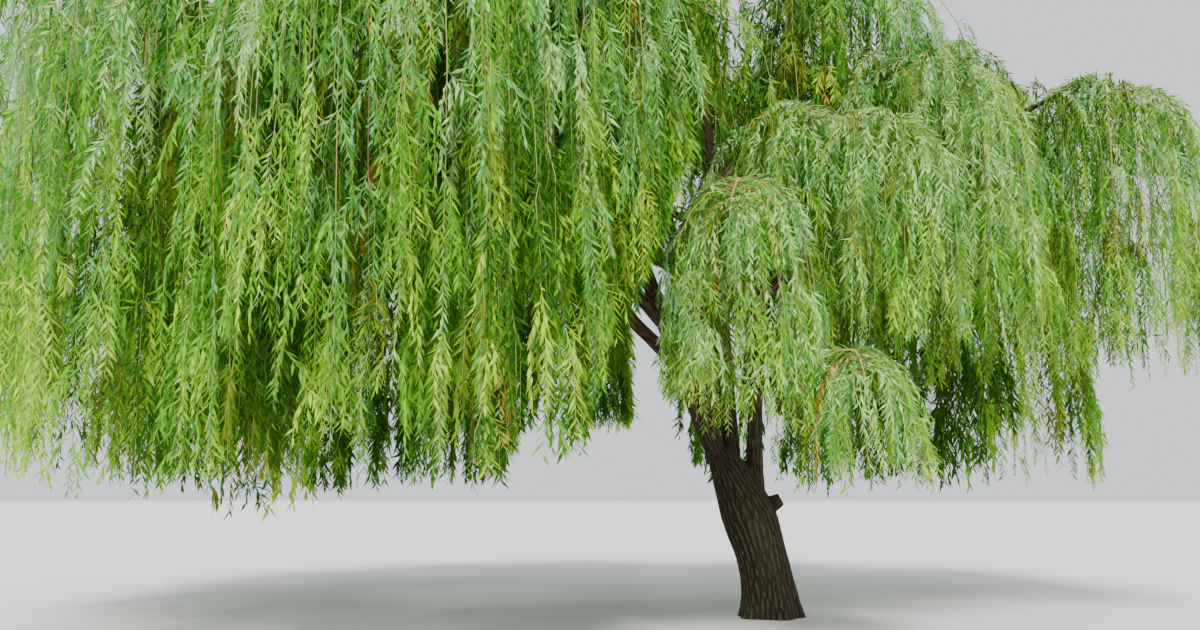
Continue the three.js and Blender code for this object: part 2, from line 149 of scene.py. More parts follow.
# The tree's own rule: the same trunk, stems and plumes as the solids

trunk = {
    "curve": np.array([(0, 0, 0), (0, 0, 0.7), (-0.26, -0.03, 1.4), (-0.64, -0.06, 2.15)]),
    "footRadius": 0.365,
    "forkRadius": 0.215,
    "swell": 0.075,
    "swellHeight": 1.33,
    "swellReach": 0.42,
    "flare": 0.1,
    "flareHeight": 0.24,
    "buttresses": 5,
    "roundedFrom": 0.82,
    "endRadius": 0.12,
    "underGround": 0.08,  # cut off again at ground level
    "rings": 90,
    "ridges": 30,
}

# The stump of a lost limb, on the right of the trunk. Its end is worn round and hollowed.
stump = {
    "height": 1.3,
    "bearing": math.radians(-12),
    "rise": math.radians(28),
    "reach": 0.48,
    "radius": 0.105,
    "wornRadius": 0.082,
    "hollowRadius": 0.045,
    "hollowDepth": 0.045,
    "rings": np.array((0, 0.3, 0.6, 0.8, 0.93, 1.0)),  # shares of its reach
    "wornFrom": 0.8,
    "ridges": 11,
    "depth": 0.009,
}

# The plume that each stem ends in, where it parts from the trunk, its first direction, its radius
stems = {
    "left": ("upper_left", (-0.45, -0.04, 1.65), (-0.6, -0.1, 1.0), 0.145),
    "middle": ("top", (-0.42, 0.04, 1.65), (-0.08, 0.22, 1.0), 0.125),
    "right": ("upper_right", (-0.12, -0.02, 1.38), (-0.22, -0.14, 1.0), 0.12),
}

# Each plume: the stem that carries its bough and how far up, x, y, top, hem, spread
plumes = {
    "upper_left": (None, 0, -5.0, -0.8, 9.8, 5.0, 1.9),
    "top": (None, 0, -1.9, 0.7, 11.2, 6.6, 2.0),
    "upper_right": (None, 0, 1.5, 0.6, 9.7, 4.6, 1.75),
    "left_front": ("left", 0.2, -6.8, -3.9, 8.4, 1.1, 1.95),
    "front_left": ("left", 0.27, -4.2, -5.0, 8.3, 1.5, 1.7),
    "far_left": ("left", 0.36, -8.4, -1.0, 8.3, 1.6, 1.85),
    "left_back": ("left", 0.47, -8.0, 2.5, 7.9, 1.5, 1.9),
    "left_inner": ("left", 0.58, -6.5, 0.9, 8.9, 4.6, 1.5),
    "front_middle": ("middle", 0.2, -2.9, -4.2, 8.3, 1.9, 1.15),
    "inner_front": ("middle", 0.69, -1.7, -3.4, 8.0, 3.1, 0.95),
    "back_left": ("middle", 0.27, -5.7, 5.1, 7.7, 1.4, 1.9),
    "back_middle": ("middle", 0.34, -3.2, 6.1, 7.9, 1.3, 1.55),
    "back_inner": ("middle", 0.41, 1.5, 3.6, 8.8, 4.2, 1.6),
    "upper_front": ("middle", 0.48, -2.5, -2.1, 9.9, 5.0, 1.8),
    "upper_rear": ("middle", 0.55, -4.3, 2.6, 9.5, 4.8, 1.8),
    "upper_back": ("middle", 0.62, -1.2, 3.4, 9.6, 4.8, 1.8),
    "low_dome": ("right", 0.17, 0.55, -3.0, 3.5, 1.55, 0.8),
    "back_right": ("right", 0.23, 0.9, 5.8, 7.7, 1.5, 1.75),
    "trunk_dome": ("right", 0.29, -0.56, -2.7, 5.5, 2.5, 1.0),
    "right_back": ("right", 0.35, 3.9, 3.6, 7.6, 1.5, 1.8),
    "front_dome": ("right", 0.41, 0.15, -1.9, 6.7, 3.9, 0.95),
    "far_right": ("right", 0.47, 4.8, -0.2, 7.5, 3.0, 1.3),
    "middle_dome": ("right", 0.53, 1.0, -2.6, 6.35, 3.5, 0.85),
    "right_dome": ("right", 0.59, 2.2, -1.2, 7.5, 2.9, 1.25),
    "right_inner": ("right", 0.66, 3.1, 1.5, 8.6, 4.2, 1.5),
}
plumeNames = list(plumes)
plumeLines = np.array([plume[2:] for plume in plumes.values()], float)
middleX, middleY, tops, hems, spreads = plumeLines.T
fullHang = 4.2  # a plume this tall or taller has shoots of full length
hangScale = np.clip((tops - hems) / fullHang, 0.55, 1)  # low domes have shorter shoots

stemLimb = {"tipRadius": 0.038, "startPull": 0.15, "tipPull": 0.45, "sway": 0.0}
boughLimb = {"tipRadius": 0.032, "startPull": 0.3, "tipPull": 0.4, "sway": 0.3}
boughStart = {"radiusShare": 0.8, "outward": 0.95}
taperPower = 0.85
curvePoints = 201  # worked out along each limb

# Where a limb ends in its plume: this share of the spread before the plume's line, this far under
# its top, and at this slope. The inset gives way by steps until the tip has its room.
entry = {"inset": 0.45, "insetStep": 0.05, "room": 0.26, "drop": 0.42, "slope": math.radians(32)}


def lineDistances(points):  # from each point to each plume's upright line, as hypot(x, y, z past it)
    x, y, z = (points[..., i, None] for i in range(3))
    past = z - np.clip(z, hems, tops)
    return np.sqrt((x - middleX) ** 2 + (y - middleY) ** 2 + past ** 2)


def roomBeside(owner, distances, own):  # half of how much nearer the own line is than any other
    isOwn = np.arange(len(plumes)) == owner[..., None]
    return (np.where(isOwn, np.inf, distances).min(-1) - own) / 2


def cubic(curve, t):  # (1-t)^3 a + 3 (1-t)^2 t b + 3 (1-t) t^2 c + t^3 d
    rest, t = 1 - t[:, None], t[:, None]
    a, b, c, d = curve
    return rest ** 3 * a + 3 * rest ** 2 * t * b + 3 * rest * t ** 2 * c + t ** 3 * d


def cubicDirection(curve, t):  # the unit derivative of the same curve
    rest, t = 1 - t[:, None], t[:, None]
    a, b, c, d = curve
    return unit(rest ** 2 * (b - a) + 2 * rest * t * (c - b) + t ** 2 * (d - c))


def alongLimb(limb, share):  # places, directions and radii at shares of the limb's length
    share = np.atleast_1d(np.asarray(share, float))
    t = np.interp(share * limb["length"], limb["runs"], limb["times"])
    radius = between(limb["baseRadius"], limb["tipRadius"], share ** taperPower)
    return cubic(limb["curve"], t), cubicDirection(limb["curve"], t), radius


def tipIn(index, bearing):  # the entry point, brought nearer to the plume's line until it has room
    head = np.array((middleX[index], middleY[index], tops[index] - entry["drop"]))
    insets = np.arange(entry["inset"], -1e-9, -entry["insetStep"])
    tips = head - bearing * spreads[index] * insets[:, None]
    distances = lineDistances(tips)
    hasRoom = roomBeside(np.full(len(tips), index), distances, distances[:, index]) > entry["room"]
    return tips[np.argmax(hasRoom)] if hasRoom.any() else tips[-1]


def growLimb(index, start, direction, baseRadius, kind):
    # A cubic curve from start along direction to the plume's entry point, at the entry's slope.
    line = np.array((middleX[index], middleY[index], 0.0))
    bearing = flatBearing(start, line)
    side = np.cross(bearing, up)
    tip = tipIn(index, bearing)
    slope = bearing * math.cos(entry["slope"]) + up * math.sin(entry["slope"])
    reach = np.hypot(*(tip - start)[:2])
    swing = side * reach * kind["sway"] * (draw(index, 7) - 0.5)
    startPull = start + swing + direction * np.linalg.norm(tip - start) * kind["startPull"]
    tipPull = tip - swing - slope * reach * kind["tipPull"]
    curve = np.array((start, startPull, tipPull, tip))
    times = np.linspace(0, 1, curvePoints)
    pieces = np.linalg.norm(np.diff(cubic(curve, times), axis=0), axis=1)
    runs = np.concatenate(([0], np.cumsum(pieces)))
    return {
        "plume": index, "curve": curve, "times": times, "runs": runs, "length": runs[-1],
        "baseRadius": baseRadius, "tipRadius": kind["tipRadius"], "side": side,
    }


def growLimbs():
    # The stems first, then the boughs on them, each kept under its plume's number.
    grown = {}
    stemOf = {}
    for name, (plume, start, lean, radius) in stems.items():
        index = plumeNames.index(plume)
        stem = growLimb(index, np.array(start), unit(np.array(lean)), radius, stemLimb)
        grown[index] = stemOf[name] = stem
    for index, (carrierName, at, x, y, *_) in enumerate(plumes.values()):
        if carrierName is None:
            continue
        (start,), (along,), (radius,) = alongLimb(stemOf[carrierName], at)
        outward = flatBearing(start, np.array((x, y, 0.0)))
        direction = unit(along + outward * boughStart["outward"])
        radius = radius * boughStart["radiusShare"]
        grown[index] = growLimb(index, start, direction, radius, boughLimb)
    return [grown[index] for index in range(len(plumes))]


limbs = growLimbs()
print("limbs grown:", len(limbs))

# Bark

bark = {
    "voxel": 0.012,
    "smoothings": 5,
    "ridgeWidth": 0.07,    # a ridge of old willow bark and its furrow
    "ridgeLength": 0.8,
    "trunkDepth": 0.026,
    "limbDepth": 0.075,    # of a limb's radius
    "proud": 0.3,          # the share of the depth that stands out over the solid
    "blend": 0.035,        # how wide the relief of two limbs mingles where they meet
    "fusedLength": 1.4,    # of each stem, in one skin with the trunk
    "sides": 64,           # of the trunk and each stem before they become one skin
    "stemRings": 60,
    "fineShare": 0.2,      # how much of the relief is in finer ridges
    "fineRun": 2.1,        # which are this much closer together along the limb
    "grain": 0.2,          # patterns are stretched along the limb by one over this
}


def barkRidges(angle, run, count, seed):
    # Two families of furrows slant to either side and leave long ridges between them: the height is
    # the smaller |sin(phase)| of the two, to the power 0.6. Slow waves make the phases wander, and
    # fine ones fray them.
    slant = math.pi / bark["ridgeLength"] / 1.4
    wander = np.sin(3 * angle + 2.3 * run + seed) + 0.7 * np.sin(5 * angle - 5.3 * run + 2 * seed)
    other = np.sin(2 * angle - 2.9 * run + 3 * seed) + 0.7 * np.sin(4 * angle + 6.1 * run - seed)
    fine = 0.35 * np.sin(7 * angle + 17 * run + seed) + 0.3 * np.sin(9 * angle - 23 * run)
    first = np.abs(np.sin(count / 2 * angle + slant * run + wander + fine))
    second = np.abs(np.sin(count / 2 * angle - slant * run + other - fine))
    return np.minimum(first, second) ** 0.6


def tubeGrid(places, along, side, radii, sides):
    # Rings round a line: place + radius * (across cos a + outward sin a), across kept near side.
    # radii has one row for each ring, with one radius or one for each of its sides.
    angle = np.arange(sides) / sides * 2 * math.pi
    across = unit(side - along * (along * side).sum(-1, keepdims=True))
    outward = np.cross(across, along)
    ring = across[..., None, :] * np.cos(angle)[:, None] + outward[..., None, :] * np.sin(angle)[:, None]
    return places[..., None, :] + ring * radii[..., None]


def gridFaces(rings, sides, closedEnds=True):
    # Quads between neighbouring rings, and a fan of quads across each end.
    ring, place = np.meshgrid(np.arange(rings - 1), np.arange(sides), indexing="ij")
    after = (place + 1) % sides
    quads = np.stack((ring * sides + place, (ring + 1) * sides + place,
                      (ring + 1) * sides + after, ring * sides + after), -1).reshape(-1, 4)
    if not closedEnds:
        return quads
    i = np.arange((sides - 2) // 2)
    foot = np.stack((i, i + 1, sides - 2 - i, sides - 1 - i), -1)
    return np.concatenate((quads, foot, foot[:, ::-1] + (rings - 1) * sides))


def trunkRadius(share, z):  # the source's taper and swelling, and a rounded end at the fork
    offSwell = (z - trunk["swellHeight"]) / trunk["swellReach"]
    full = between(trunk["footRadius"], trunk["forkRadius"], z / trunk["curve"][3, 2])
    full = full + trunk["swell"] * np.exp(-offSwell ** 2)
    intoEnd = np.maximum(0, share - trunk["roundedFrom"]) / (1 - trunk["roundedFrom"])
    return between(trunk["endRadius"], full, np.sqrt(np.maximum(0, 1 - intoEnd ** 2)))


def buttress(angle, z):  # lobes round the foot that fade with height
    lobe = 0.55 + 0.45 * np.cos(trunk["buttresses"] * angle)
    return 1 + trunk["flare"] / trunk["footRadius"] * lobe * np.exp(-z / trunk["flareHeight"])


def trunkAxis():
    # The trunk as a limb of its own: places, directions, runs and radii along its middle line.
    share = np.linspace(0, 1, trunk["rings"])
    places = cubic(trunk["curve"], share)
    return {
        "places": places,
        "along": cubicDirection(trunk["curve"], share),
        "runs": places[:, 2],
        "radii": trunkRadius(share, places[:, 2]),
        "side": np.array((1.0, 0.0, 0.0)),
        "ridges": trunk["ridges"],
        "depth": bark["trunkDepth"],
        "seed": 1.0,
    }


def stemAxis(limb):
    share = np.linspace(0, bark["fusedLength"] / limb["length"], bark["stemRings"])
    places, along, radii = alongLimb(limb, share)
    return {
        "places": places, "along": along, "runs": share * limb["length"], "radii": radii,
        "side": limb["side"], "ridges": ridgeCount(limb), "depth": reliefDepth(limb),
        "seed": limb["plume"] + 2.0,
    }


def ridgeCount(limb):  # how many ridges go round a limb at its start
    return round(2 * math.pi * limb["baseRadius"] / bark["ridgeWidth"]) + 3


def reliefDepth(limb):
    return limb["baseRadius"] * bark["limbDepth"]


def stumpAxis():
    share, radius = stump["rings"], stump["radius"]
    radii = np.interp(share, (0, stump["wornFrom"], 1), (radius, radius, stump["wornRadius"]))
    start = cubic(trunk["curve"], np.array((stump["height"] / trunk["curve"][3, 2],)))[0]
    rise = stump["rise"]
    along = turned(np.array((math.cos(rise), 0.0, math.sin(rise))), stump["bearing"])
    return {
        "places": start + along * stump["reach"] * share[:, None],
        "along": np.tile(along, (len(share), 1)), "runs": share * stump["reach"], "radii": radii,
        "side": np.array((0.0, 1.0, 0.0)), "ridges": stump["ridges"], "depth": stump["depth"],
        "seed": 5.0,
    }


def fusedTrunk(axes):
    # The trunk, the starts of its stems and the stump become one skin by a voxel remesh.
    sides = bark["sides"]
    angle = np.arange(sides) / sides * 2 * math.pi
    whole, faces, corner = [], [], 0
    for axis in axes:
        places, along, radii = axis["places"], axis["along"], np.tile(axis["radii"][:, None], sides)
        if axis is axes[0]:
            radii = radii * buttress(angle, places[:, 2:3])
            places = np.concatenate((places[:1] - up * trunk["underGround"], places))
            along = np.concatenate((along[:1], along))
            radii = np.concatenate((radii[:1], radii))
        if axis is axes[-1]:
            hollow = places[-1] - along[-1] * stump["hollowDepth"]
            places = np.concatenate((places, (places[-1], hollow)))
            along = np.concatenate((along, along[-2:]))
            radii = np.concatenate((radii, np.full((2, sides), stump["hollowRadius"])))
        grid = tubeGrid(places, along, axis["side"], radii, sides)
        whole.append(grid.reshape(-1, 3))
        faces.append(gridFaces(len(places), sides) + corner)
        corner += len(places) * sides
    piece = addPiece("trunk_bark", np.concatenate(whole), np.concatenate(faces), [])
    remesh = piece.modifiers.new("oneSkin", "REMESH")
    remesh.mode = "VOXEL"
    remesh.voxel_size = bark["voxel"]
    fused = bpy.data.meshes.new_from_object(piece.evaluated_get(bpy.context.evaluated_depsgraph_get()))
    piece.modifiers.clear()
    piece.data = fused
    return piece


def smoothedPlaces(mesh, times):  # each point goes half way to the middle of its neighbours
    count = len(mesh.vertices)
    places = np.empty(count * 3, np.float32)
    mesh.vertices.foreach_get("co", places)
    places = places.reshape(-1, 3).astype(float)
    ends = np.empty(len(mesh.edges) * 2, np.int32)
    mesh.edges.foreach_get("vertices", ends)
    first, second = ends.reshape(-1, 2).T
    neighbours = np.bincount(np.concatenate((first, second)), minlength=count)[:, None]
    for _ in range(times):
        total = np.stack([
            np.bincount(first, places[second, i], count) + np.bincount(second, places[first, i], count)
            for i in range(3)
        ], 1)
        places = (places + total / neighbours) / 2
    return places


def barkOn(places, axes):
    # Height of the relief, its share of full height and the grain's own coordinates at each
    # point, mingled from the limbs near it by exp(-(gap to the limb's skin) / blend).
    gaps, heights, ridges, grains = [], [], [], []
    for axis in axes:
        offs = np.linalg.norm(places[:, None] - axis["places"][None], axis=2)
        nearest = np.argmin(offs - axis["radii"], axis=1)
        off = places - axis["places"][nearest]
        along = axis["along"][nearest]
        across = unit(axis["side"] - along * (along * axis["side"]).sum(1, keepdims=True))
        outward = np.cross(across, along)
        angle = np.arctan2((off * outward).sum(1), (off * across).sum(1))
        run = axis["runs"][nearest] + (off * along).sum(1)
        coarse = barkRidges(angle, run, axis["ridges"], axis["seed"])
        fine = barkRidges(angle, run * bark["fineRun"], axis["ridges"] * 2 + 5, axis["seed"] + 9)
        ridge = (1 - bark["fineShare"]) * coarse + bark["fineShare"] * fine
        radius = axis["radii"][nearest]
        gaps.append(np.min(offs - axis["radii"], axis=1))
        ridges.append(ridge)
        heights.append((ridge - 1 + bark["proud"]) * axis["depth"])
        grains.append(np.stack((np.cos(angle) * radius, np.sin(angle) * radius,
                                run * bark["grain"]), -1))
    gaps = np.array(gaps)
    weights = np.exp(-(gaps - gaps.min(0)) / bark["blend"])
    weights = weights / weights.sum(0)
    return (
        (weights * heights).sum(0),
        (weights * ridges).sum(0),
        (weights[..., None] * grains).sum(0),
    )


def keepBark(piece, ridge, grain):
    # The material reads how high each point stands and where it lies along the grain.
    piece.data.attributes.new("ridge", "FLOAT", "POINT").data.foreach_set("value", ridge.astype(np.float32))
    grainData = piece.data.attributes.new("grain", "FLOAT_VECTOR", "POINT").data
    grainData.foreach_set("vector", grain.astype(np.float32).ravel())


def cutAtGround(piece):  # everything under z = 0 goes, and one flat face closes the cut
    mesh = bmesh.new()
    mesh.from_mesh(piece.data)
    everything = mesh.verts[:] + mesh.edges[:] + mesh.faces[:]
    cut = bmesh.ops.bisect_plane(mesh, geom=everything, plane_co=(0, 0, 0), plane_no=(0, 0, 1),
                                 clear_inner=True)
    rim = [part for part in cut["geom_cut"] if isinstance(part, bmesh.types.BMEdge)]
    bmesh.ops.edgeloop_fill(mesh, edges=rim)
    mesh.to_mesh(piece.data)
    mesh.free()


def makeTrunk(material):
    axes = [trunkAxis()] + [stemAxis(limbs[i]) for i in range(len(stems))] + [stumpAxis()]
    piece = fusedTrunk(axes)
    mesh = piece.data
    places = smoothedPlaces(mesh, bark["smoothings"])
    mesh.vertices.foreach_set("co", places.astype(np.float32).ravel())
    mesh.update()
    normals = np.empty(len(places) * 3, np.float32)
    mesh.vertex_normals.foreach_get("vector", normals)
    height, ridge, grain = barkOn(places, axes)
    places = places + normals.reshape(-1, 3) * height[:, None]
    mesh.vertices.foreach_set("co", places.astype(np.float32).ravel())
    mesh.polygons.foreach_set("use_smooth", np.ones(len(mesh.polygons), bool))
    keepBark(piece, ridge, grain)
    cutAtGround(piece)
    mesh.materials.append(material)
    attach(piece, "root")
    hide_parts("trunk")
    print("trunk:", len(mesh.polygons), "faces")


limbSkin = {
    "sides": 20,
    "ringStep": 0.05,
    "overlap": 0.12,    # of a stem's tube inside the trunk's skin
    "collar": 0.3,      # how much a bough widens at its start
    "collarReach": 0.3,
    "lump": 0.03,       # of the radius: slow swellings, and how fast they turn along the limb
    "lumpTurn": 3.1,
    "fineLump": 0.02,
    "fineLumpTurn": 8.3,
}


def makeLimbs(name, chosen, firstRun, material, nodes):
    # A tube for each limb, with the bark's relief worked into its radius.
    sides = limbSkin["sides"]
    angle = np.arange(sides) / sides * 2 * math.pi
    allPlaces, allFaces, allRidges, allGrains = [], [], [], []
    corner = 0
    for limb in chosen:
        rings = int((limb["length"] - firstRun) / limbSkin["ringStep"])
        run = np.linspace(firstRun, limb["length"], rings)
        places, along, radii = alongLimb(limb, run / limb["length"])
        if firstRun == 0:
            radii = radii * (1 + limbSkin["collar"] * np.exp(-run / limbSkin["collarReach"]))
        ridge = barkRidges(angle, run[:, None], ridgeCount(limb), limb["plume"] + 2.0)
        height = (ridge - 1 + bark["proud"]) * reliefDepth(limb) * (radii / limb["baseRadius"])[:, None]
        lumps = (1 + limbSkin["lump"] * np.sin(limbSkin["lumpTurn"] * run + limb["plume"])
                 + limbSkin["fineLump"] * np.sin(limbSkin["fineLumpTurn"] * run))
        grid = tubeGrid(places, along, limb["side"], (radii * lumps)[:, None] + height, sides)
        allPlaces.append(grid.reshape(-1, 3))
        allFaces.append(gridFaces(rings, sides) + corner)
        allRidges.append(ridge.ravel())
        allGrains.append(np.stack((np.cos(angle) * radii[:, None], np.sin(angle) * radii[:, None],
                                   np.tile(run[:, None] * bark["grain"], sides)), -1).reshape(-1, 3))
        corner += rings * sides
    piece = addPiece(name, np.concatenate(allPlaces), np.concatenate(allFaces), [material], smooth=True)
    keepBark(piece, np.concatenate(allRidges), np.concatenate(allGrains))
    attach(piece, "root")
    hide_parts(*nodes)
    print(name + ":", len(piece.data.polygons), "faces")


# Old willow bark is grey-brown on its ridges, with a breath of green algae, and is rough and dull all
# over. All its colours are darkened by painted shade from the crown overhead, and the nearly black of
# its furrows is painted shade.
shadedTrunkBark = {
    "name": "old willow bark",
    "shadedFurrow": "#0e0b08",
    "flank": "#30281c",
    "ridge": "#564c39",
    "stain": "#45452a",
    "fibre": 70,      # per metre: fibres of about 14 mm across the grain
    "crack": 24,      # flakes of about 40 mm
    "bump": 0.012,
    "roughness": 0.9,
}

# The bark of the boughs is younger: smoother, warmer and redder, with shallow furrows whose dark colour is
# painted shade.
limbBark = {
    "name": "young willow bark",
    "shadedFurrow": "#20150e",
    "flank": "#453024",
    "ridge": "#6d5340",
    "stain": "#4d472b",
    "fibre": 90,
    "crack": 34,
    "bump": 0.006,
    "roughness": 0.85,
}


def barkMaterial(settings):
    # Colour goes from painted shade in the furrows to the ridge's colour by the modelled height, broken
    # up by fibres along the grain and patches of algae. Fibres and flakes stand out a little by bump.
    material = bpy.data.materials.new(settings["name"])
    material.use_nodes = True
    tree = material.node_tree
    tree.nodes.clear()
    grain = addNode(tree, "ShaderNodeAttribute", {"attribute_name": "grain"}).outputs["Vector"]
    ridge = addNode(tree, "ShaderNodeAttribute", {"attribute_name": "ridge"}).outputs["Fac"]
    fibres = addNode(tree, "ShaderNodeTexNoise", {
        "Scale": settings["fibre"], "Detail": 6, "Roughness": 0.65}, {"Vector": grain}).outputs["Fac"]
    flakes = addNode(tree, "ShaderNodeTexVoronoi", {
        "feature": "DISTANCE_TO_EDGE", "Scale": settings["crack"]}, {"Vector": grain}).outputs["Distance"]
    patches = addNode(tree, "ShaderNodeTexNoise", {
        "Scale": 3.5, "Detail": 4, "Roughness": 0.7}, {"Vector": grain}).outputs["Fac"]
    broken = addNode(tree, "ShaderNodeMath", {  # from -0.35 to 0.35
        "operation": "MULTIPLY_ADD", 1: 0.7, 2: -0.35}, {0: fibres}).outputs[0]
    level = addNode(tree, "ShaderNodeMath", {"operation": "ADD", "use_clamp": True}, {0: ridge, 1: broken})
    ramp = addNode(tree, "ShaderNodeValToRGB", {}, {"Fac": level.outputs[0]})
    stops = ramp.color_ramp.elements
    # the lowest stop is painted shade in the furrows
    stops[0].position, stops[0].color = 0.15, linear(settings["shadedFurrow"])
    stops[1].position, stops[1].color = 0.98, linear(settings["ridge"])
    stops.new(0.6).color = linear(settings["flank"])
    stained = addNode(tree, "ShaderNodeMapRange", {
        "From Min": 0.5, "From Max": 0.72, "To Max": 0.55}, {"Value": patches}).outputs["Result"]
    colour = addNode(tree, "ShaderNodeMix", {"data_type": "RGBA", 7: linear(settings["stain"])}, {
        0: stained, 6: ramp.outputs["Color"]}).outputs[2]
    rough = addNode(tree, "ShaderNodeMapRange", {
        "To Min": settings["roughness"] - 0.1, "To Max": settings["roughness"] + 0.08},
        {"Value": fibres}).outputs["Result"]
    relief = addNode(tree, "ShaderNodeMath", {  # half the flakes and all the fibres
        "operation": "MULTIPLY_ADD", 1: 0.5}, {0: flakes, 2: fibres}).outputs[0]
    bump = addNode(tree, "ShaderNodeBump", {
        "Strength": 0.9, "Distance": settings["bump"]}, {"Height": relief}).outputs["Normal"]
    surface = addNode(tree, "ShaderNodeBsdfPrincipled", {"Specular IOR Level": 0.25}, {
        "Base Color": colour, "Roughness": rough, "Normal": bump}).outputs["BSDF"]
    addNode(tree, "ShaderNodeOutputMaterial", {}, {"Surface": surface})
    return material


youngBark = barkMaterial(limbBark)
makeTrunk(barkMaterial(shadedTrunkBark))
stemLimbs, boughLimbs = limbs[:len(stems)], limbs[len(stems):]
makeLimbs("stem_bark", stemLimbs, bark["fusedLength"] - limbSkin["overlap"], youngBark,
          ["stem_" + name for name in stems])
makeLimbs("bough_bark", boughLimbs, 0, youngBark,
          ["bough_" + plumeNames[limb["plume"]] for limb in boughLimbs])

# Foliage: leaders, twigs and hanging shoots

step = 0.06  # between two points along a shoot

# The leader runs on from its limb. Its bend and length are shares of the plume's spread.
leader = {
    "bend": 0.6,
    "length": 1.7,
    "leastPoints": 4,
    "radius": 0.02,
    "tipRadius": 0.006,
    "sides": 6,
    "rings": 12,
    "leavesPart": (1.0, 0.0),  # leaves all along
}

# Twigs leave the leader by the source's rule, in rounds: the first round has the source's own
# twigs, and each further round the same with other draws, up to the whole number.
twig = {
    "spacing": 0.29,
    "perMetre": 20,            # of the plume's spread, and some more in any plume
    "more": 8,
    "scatter": 0.7,            # of the room between two twigs
    "roundShift": 0.33,        # each round starts this share further on
    "seedStep": 17,
    "roundSeed": 1000.5,
    "from": (0.08, 0.55),
    "away": (math.radians(155), math.radians(25)),
    "rise": (math.radians(10), math.radians(50)),
    "bend": (0.18, 0.9),
    "narrowing": 0.85,
    "narrowest": 0.12,
    "radius": 0.0085,
    "tipRadius": 0.003,
    "sides": 3,
    "rings": 9,
    "shortest": 0.9,
    "hemRoom": (0.03, 0.45),   # how high over the hem they end, of the plume's height
    "hemPower": 2.4,           # most end low
    "lowered": 0.8,            # of what lowerBy gives
    "margin": -0.3,            # how far they keep from the next plume's space, or lean into it
    "beyond": 0.0,             # how far they reach past the spread
    "sway": 0.06,
    "leavesPart": (1.3, 0.7),  # leaves on its first metres, and from this share of it on
}

# How full of twigs a plume is: the curtain in front and the domes over the trunk are densest, and
# the top, where all plumes overlap, is thinnest.
fullnessOf = {
    "left_front": 1.35, "front_left": 1.4, "front_middle": 1.4, "inner_front": 1.7, "far_left": 1.35,
    "trunk_dome": 1.9, "middle_dome": 1.4, "front_dome": 1.5, "right_dome": 1.4, "low_dome": 1.4,
    "far_right": 1.7, "right_back": 1.3, "upper_left": 0.7, "top": 0.85, "upper_right": 0.9,
    "upper_rear": 0.65, "upper_back": 0.65, "left_inner": 0.8, "back_inner": 0.7, "right_inner": 1.1,
    "upper_front": 1.0, "left_back": 1.15, "back_left": 1.25, "back_middle": 1.25, "back_right": 1.25,
}
lowerBy = {"trunk_dome": 0.55, "middle_dome": 0.5, "inner_front": 0.3}  # strands under the hem
fullness = np.array([fullnessOf[name] for name in plumeNames])
lowered = np.array([lowerBy.get(name, 0) for name in plumeNames])

# Twigs leave the limbs too, and close the crown between the plumes. They hang to a line of their
# own, higher than the hems, and leave the room round the trunk open.
innerTwig = {
    "spacing": 0.4,
    "closer": {"far_right": 3.0, "right_inner": 1.6, "upper_right": 1.5},
    "crowding": 0.65,      # under 1: closer together towards the limb's tip
    "from": (0.28, 0.98),
    "away": (math.radians(35), math.radians(120)),
    "rise": (math.radians(0), math.radians(50)),
    "bend": (0.35, 0.95),
    "narrowest": 0.3,      # of the bend
    "low": (2.9, 5.2),
    "overHem": 0.3,
    "length": (1.5, 4.0),
}

# Shoots leave the twigs and leaders by the same rule, in tufts, and turn each twig into a tress
# with a pointed end.
shoot = {
    "spacing": 0.29,
    "inTuft": 3,
    "tuftSpread": 0.25,     # of the room between two tufts
    "crowding": 0.85,
    "from": (0.02, 0.99),
    "away": (math.radians(15), math.radians(110)),
    "follow": 0.5,          # how much of its twig's slope a shoot starts with
    "rise": (math.radians(-10), math.radians(48)),
    "bend": (0.06, 0.25),
    "bendPower": 1.3,
    "length": (0.4, 1.25),
    "shortHang": 0.6,       # the length's share in the lowest plumes
    "narrowing": 0.75,
    "tries": 5,
    "shortest": 0.3,
    "radius": 0.0042,
    "tipRadius": 0.0018,
    "sides": 3,
    "rings": 3,
    "margin": -0.35,
    "beyond": 0.25,
    "hemRoom": (-0.1, 0.6),
    "ragged": 0.3,
    "sway": 0.09,
    "leavesPart": (1.0, 0.0),
}

# What sways may lean a little further over its space's edge.
swaying = {
    "margin": -0.4,
    "beyond": 0.35,
    "under": 0.1,         # how far it may hang under its low
    "drift": 0.35,
    "wave": (1.2, 3.2),   # radians for each metre
}

# The whole crown's box, less the room that a leaf takes beside its shoot
leafRoom = np.array((0.07, 0.07, 0))
crownLow = np.array(cadBox[0]) + leafRoom
crownHigh = np.array(cadBox[1]) - leafRoom

# The lower edges of the curtains in front of the trunk and behind it: heights at places along X
curtains = (
    {
        "side": -1,
        "beyond": 1.8,
        "x": (-9.5, -8.1, -7.2, -6.3, -5.8, -5.5, -5.2, -4.9,
              -4.5, -3.5, -2.9, -2.2, -1.9, -1.5, -0.6, -0.2),
        "z": (2.8, 2.5, 1.7, 1.35, 1.0, 1.3, 2.5, 2.3,
              1.5, 1.45, 1.7, 2.0, 2.8, 2.6, 2.0, 1.3),
    },
    {
        "side": 1,
        "beyond": 3.5,
        "x": (-9.0, -4.4, -3.8, -3.3, -0.9, -0.3, 5.0),
        "z": (1.5, 1.7, 2.2, 2.7, 2.7, 1.8, 1.6),
    },
)
# What hangs high over its plume's hem, up to most, ends this share of it over the edge.
curtainRagged = {"share": 0.25, "most": 2}

# The curtain's right edge in front of the trunk, which leaves the dome behind it in view: x at a
# height, how much x grows for each metre up, and how high the edge reaches
curtainEdge = {
    "plumes": ("inner_front", "front_middle"),
    "x": -1.2,
    "z": 5.2,
    "lean": 0.36,
    "top": 5.0,
    "ragged": 0.7,
}
edgePlumes = [plumeNames.index(name) for name in curtainEdge["plumes"]]


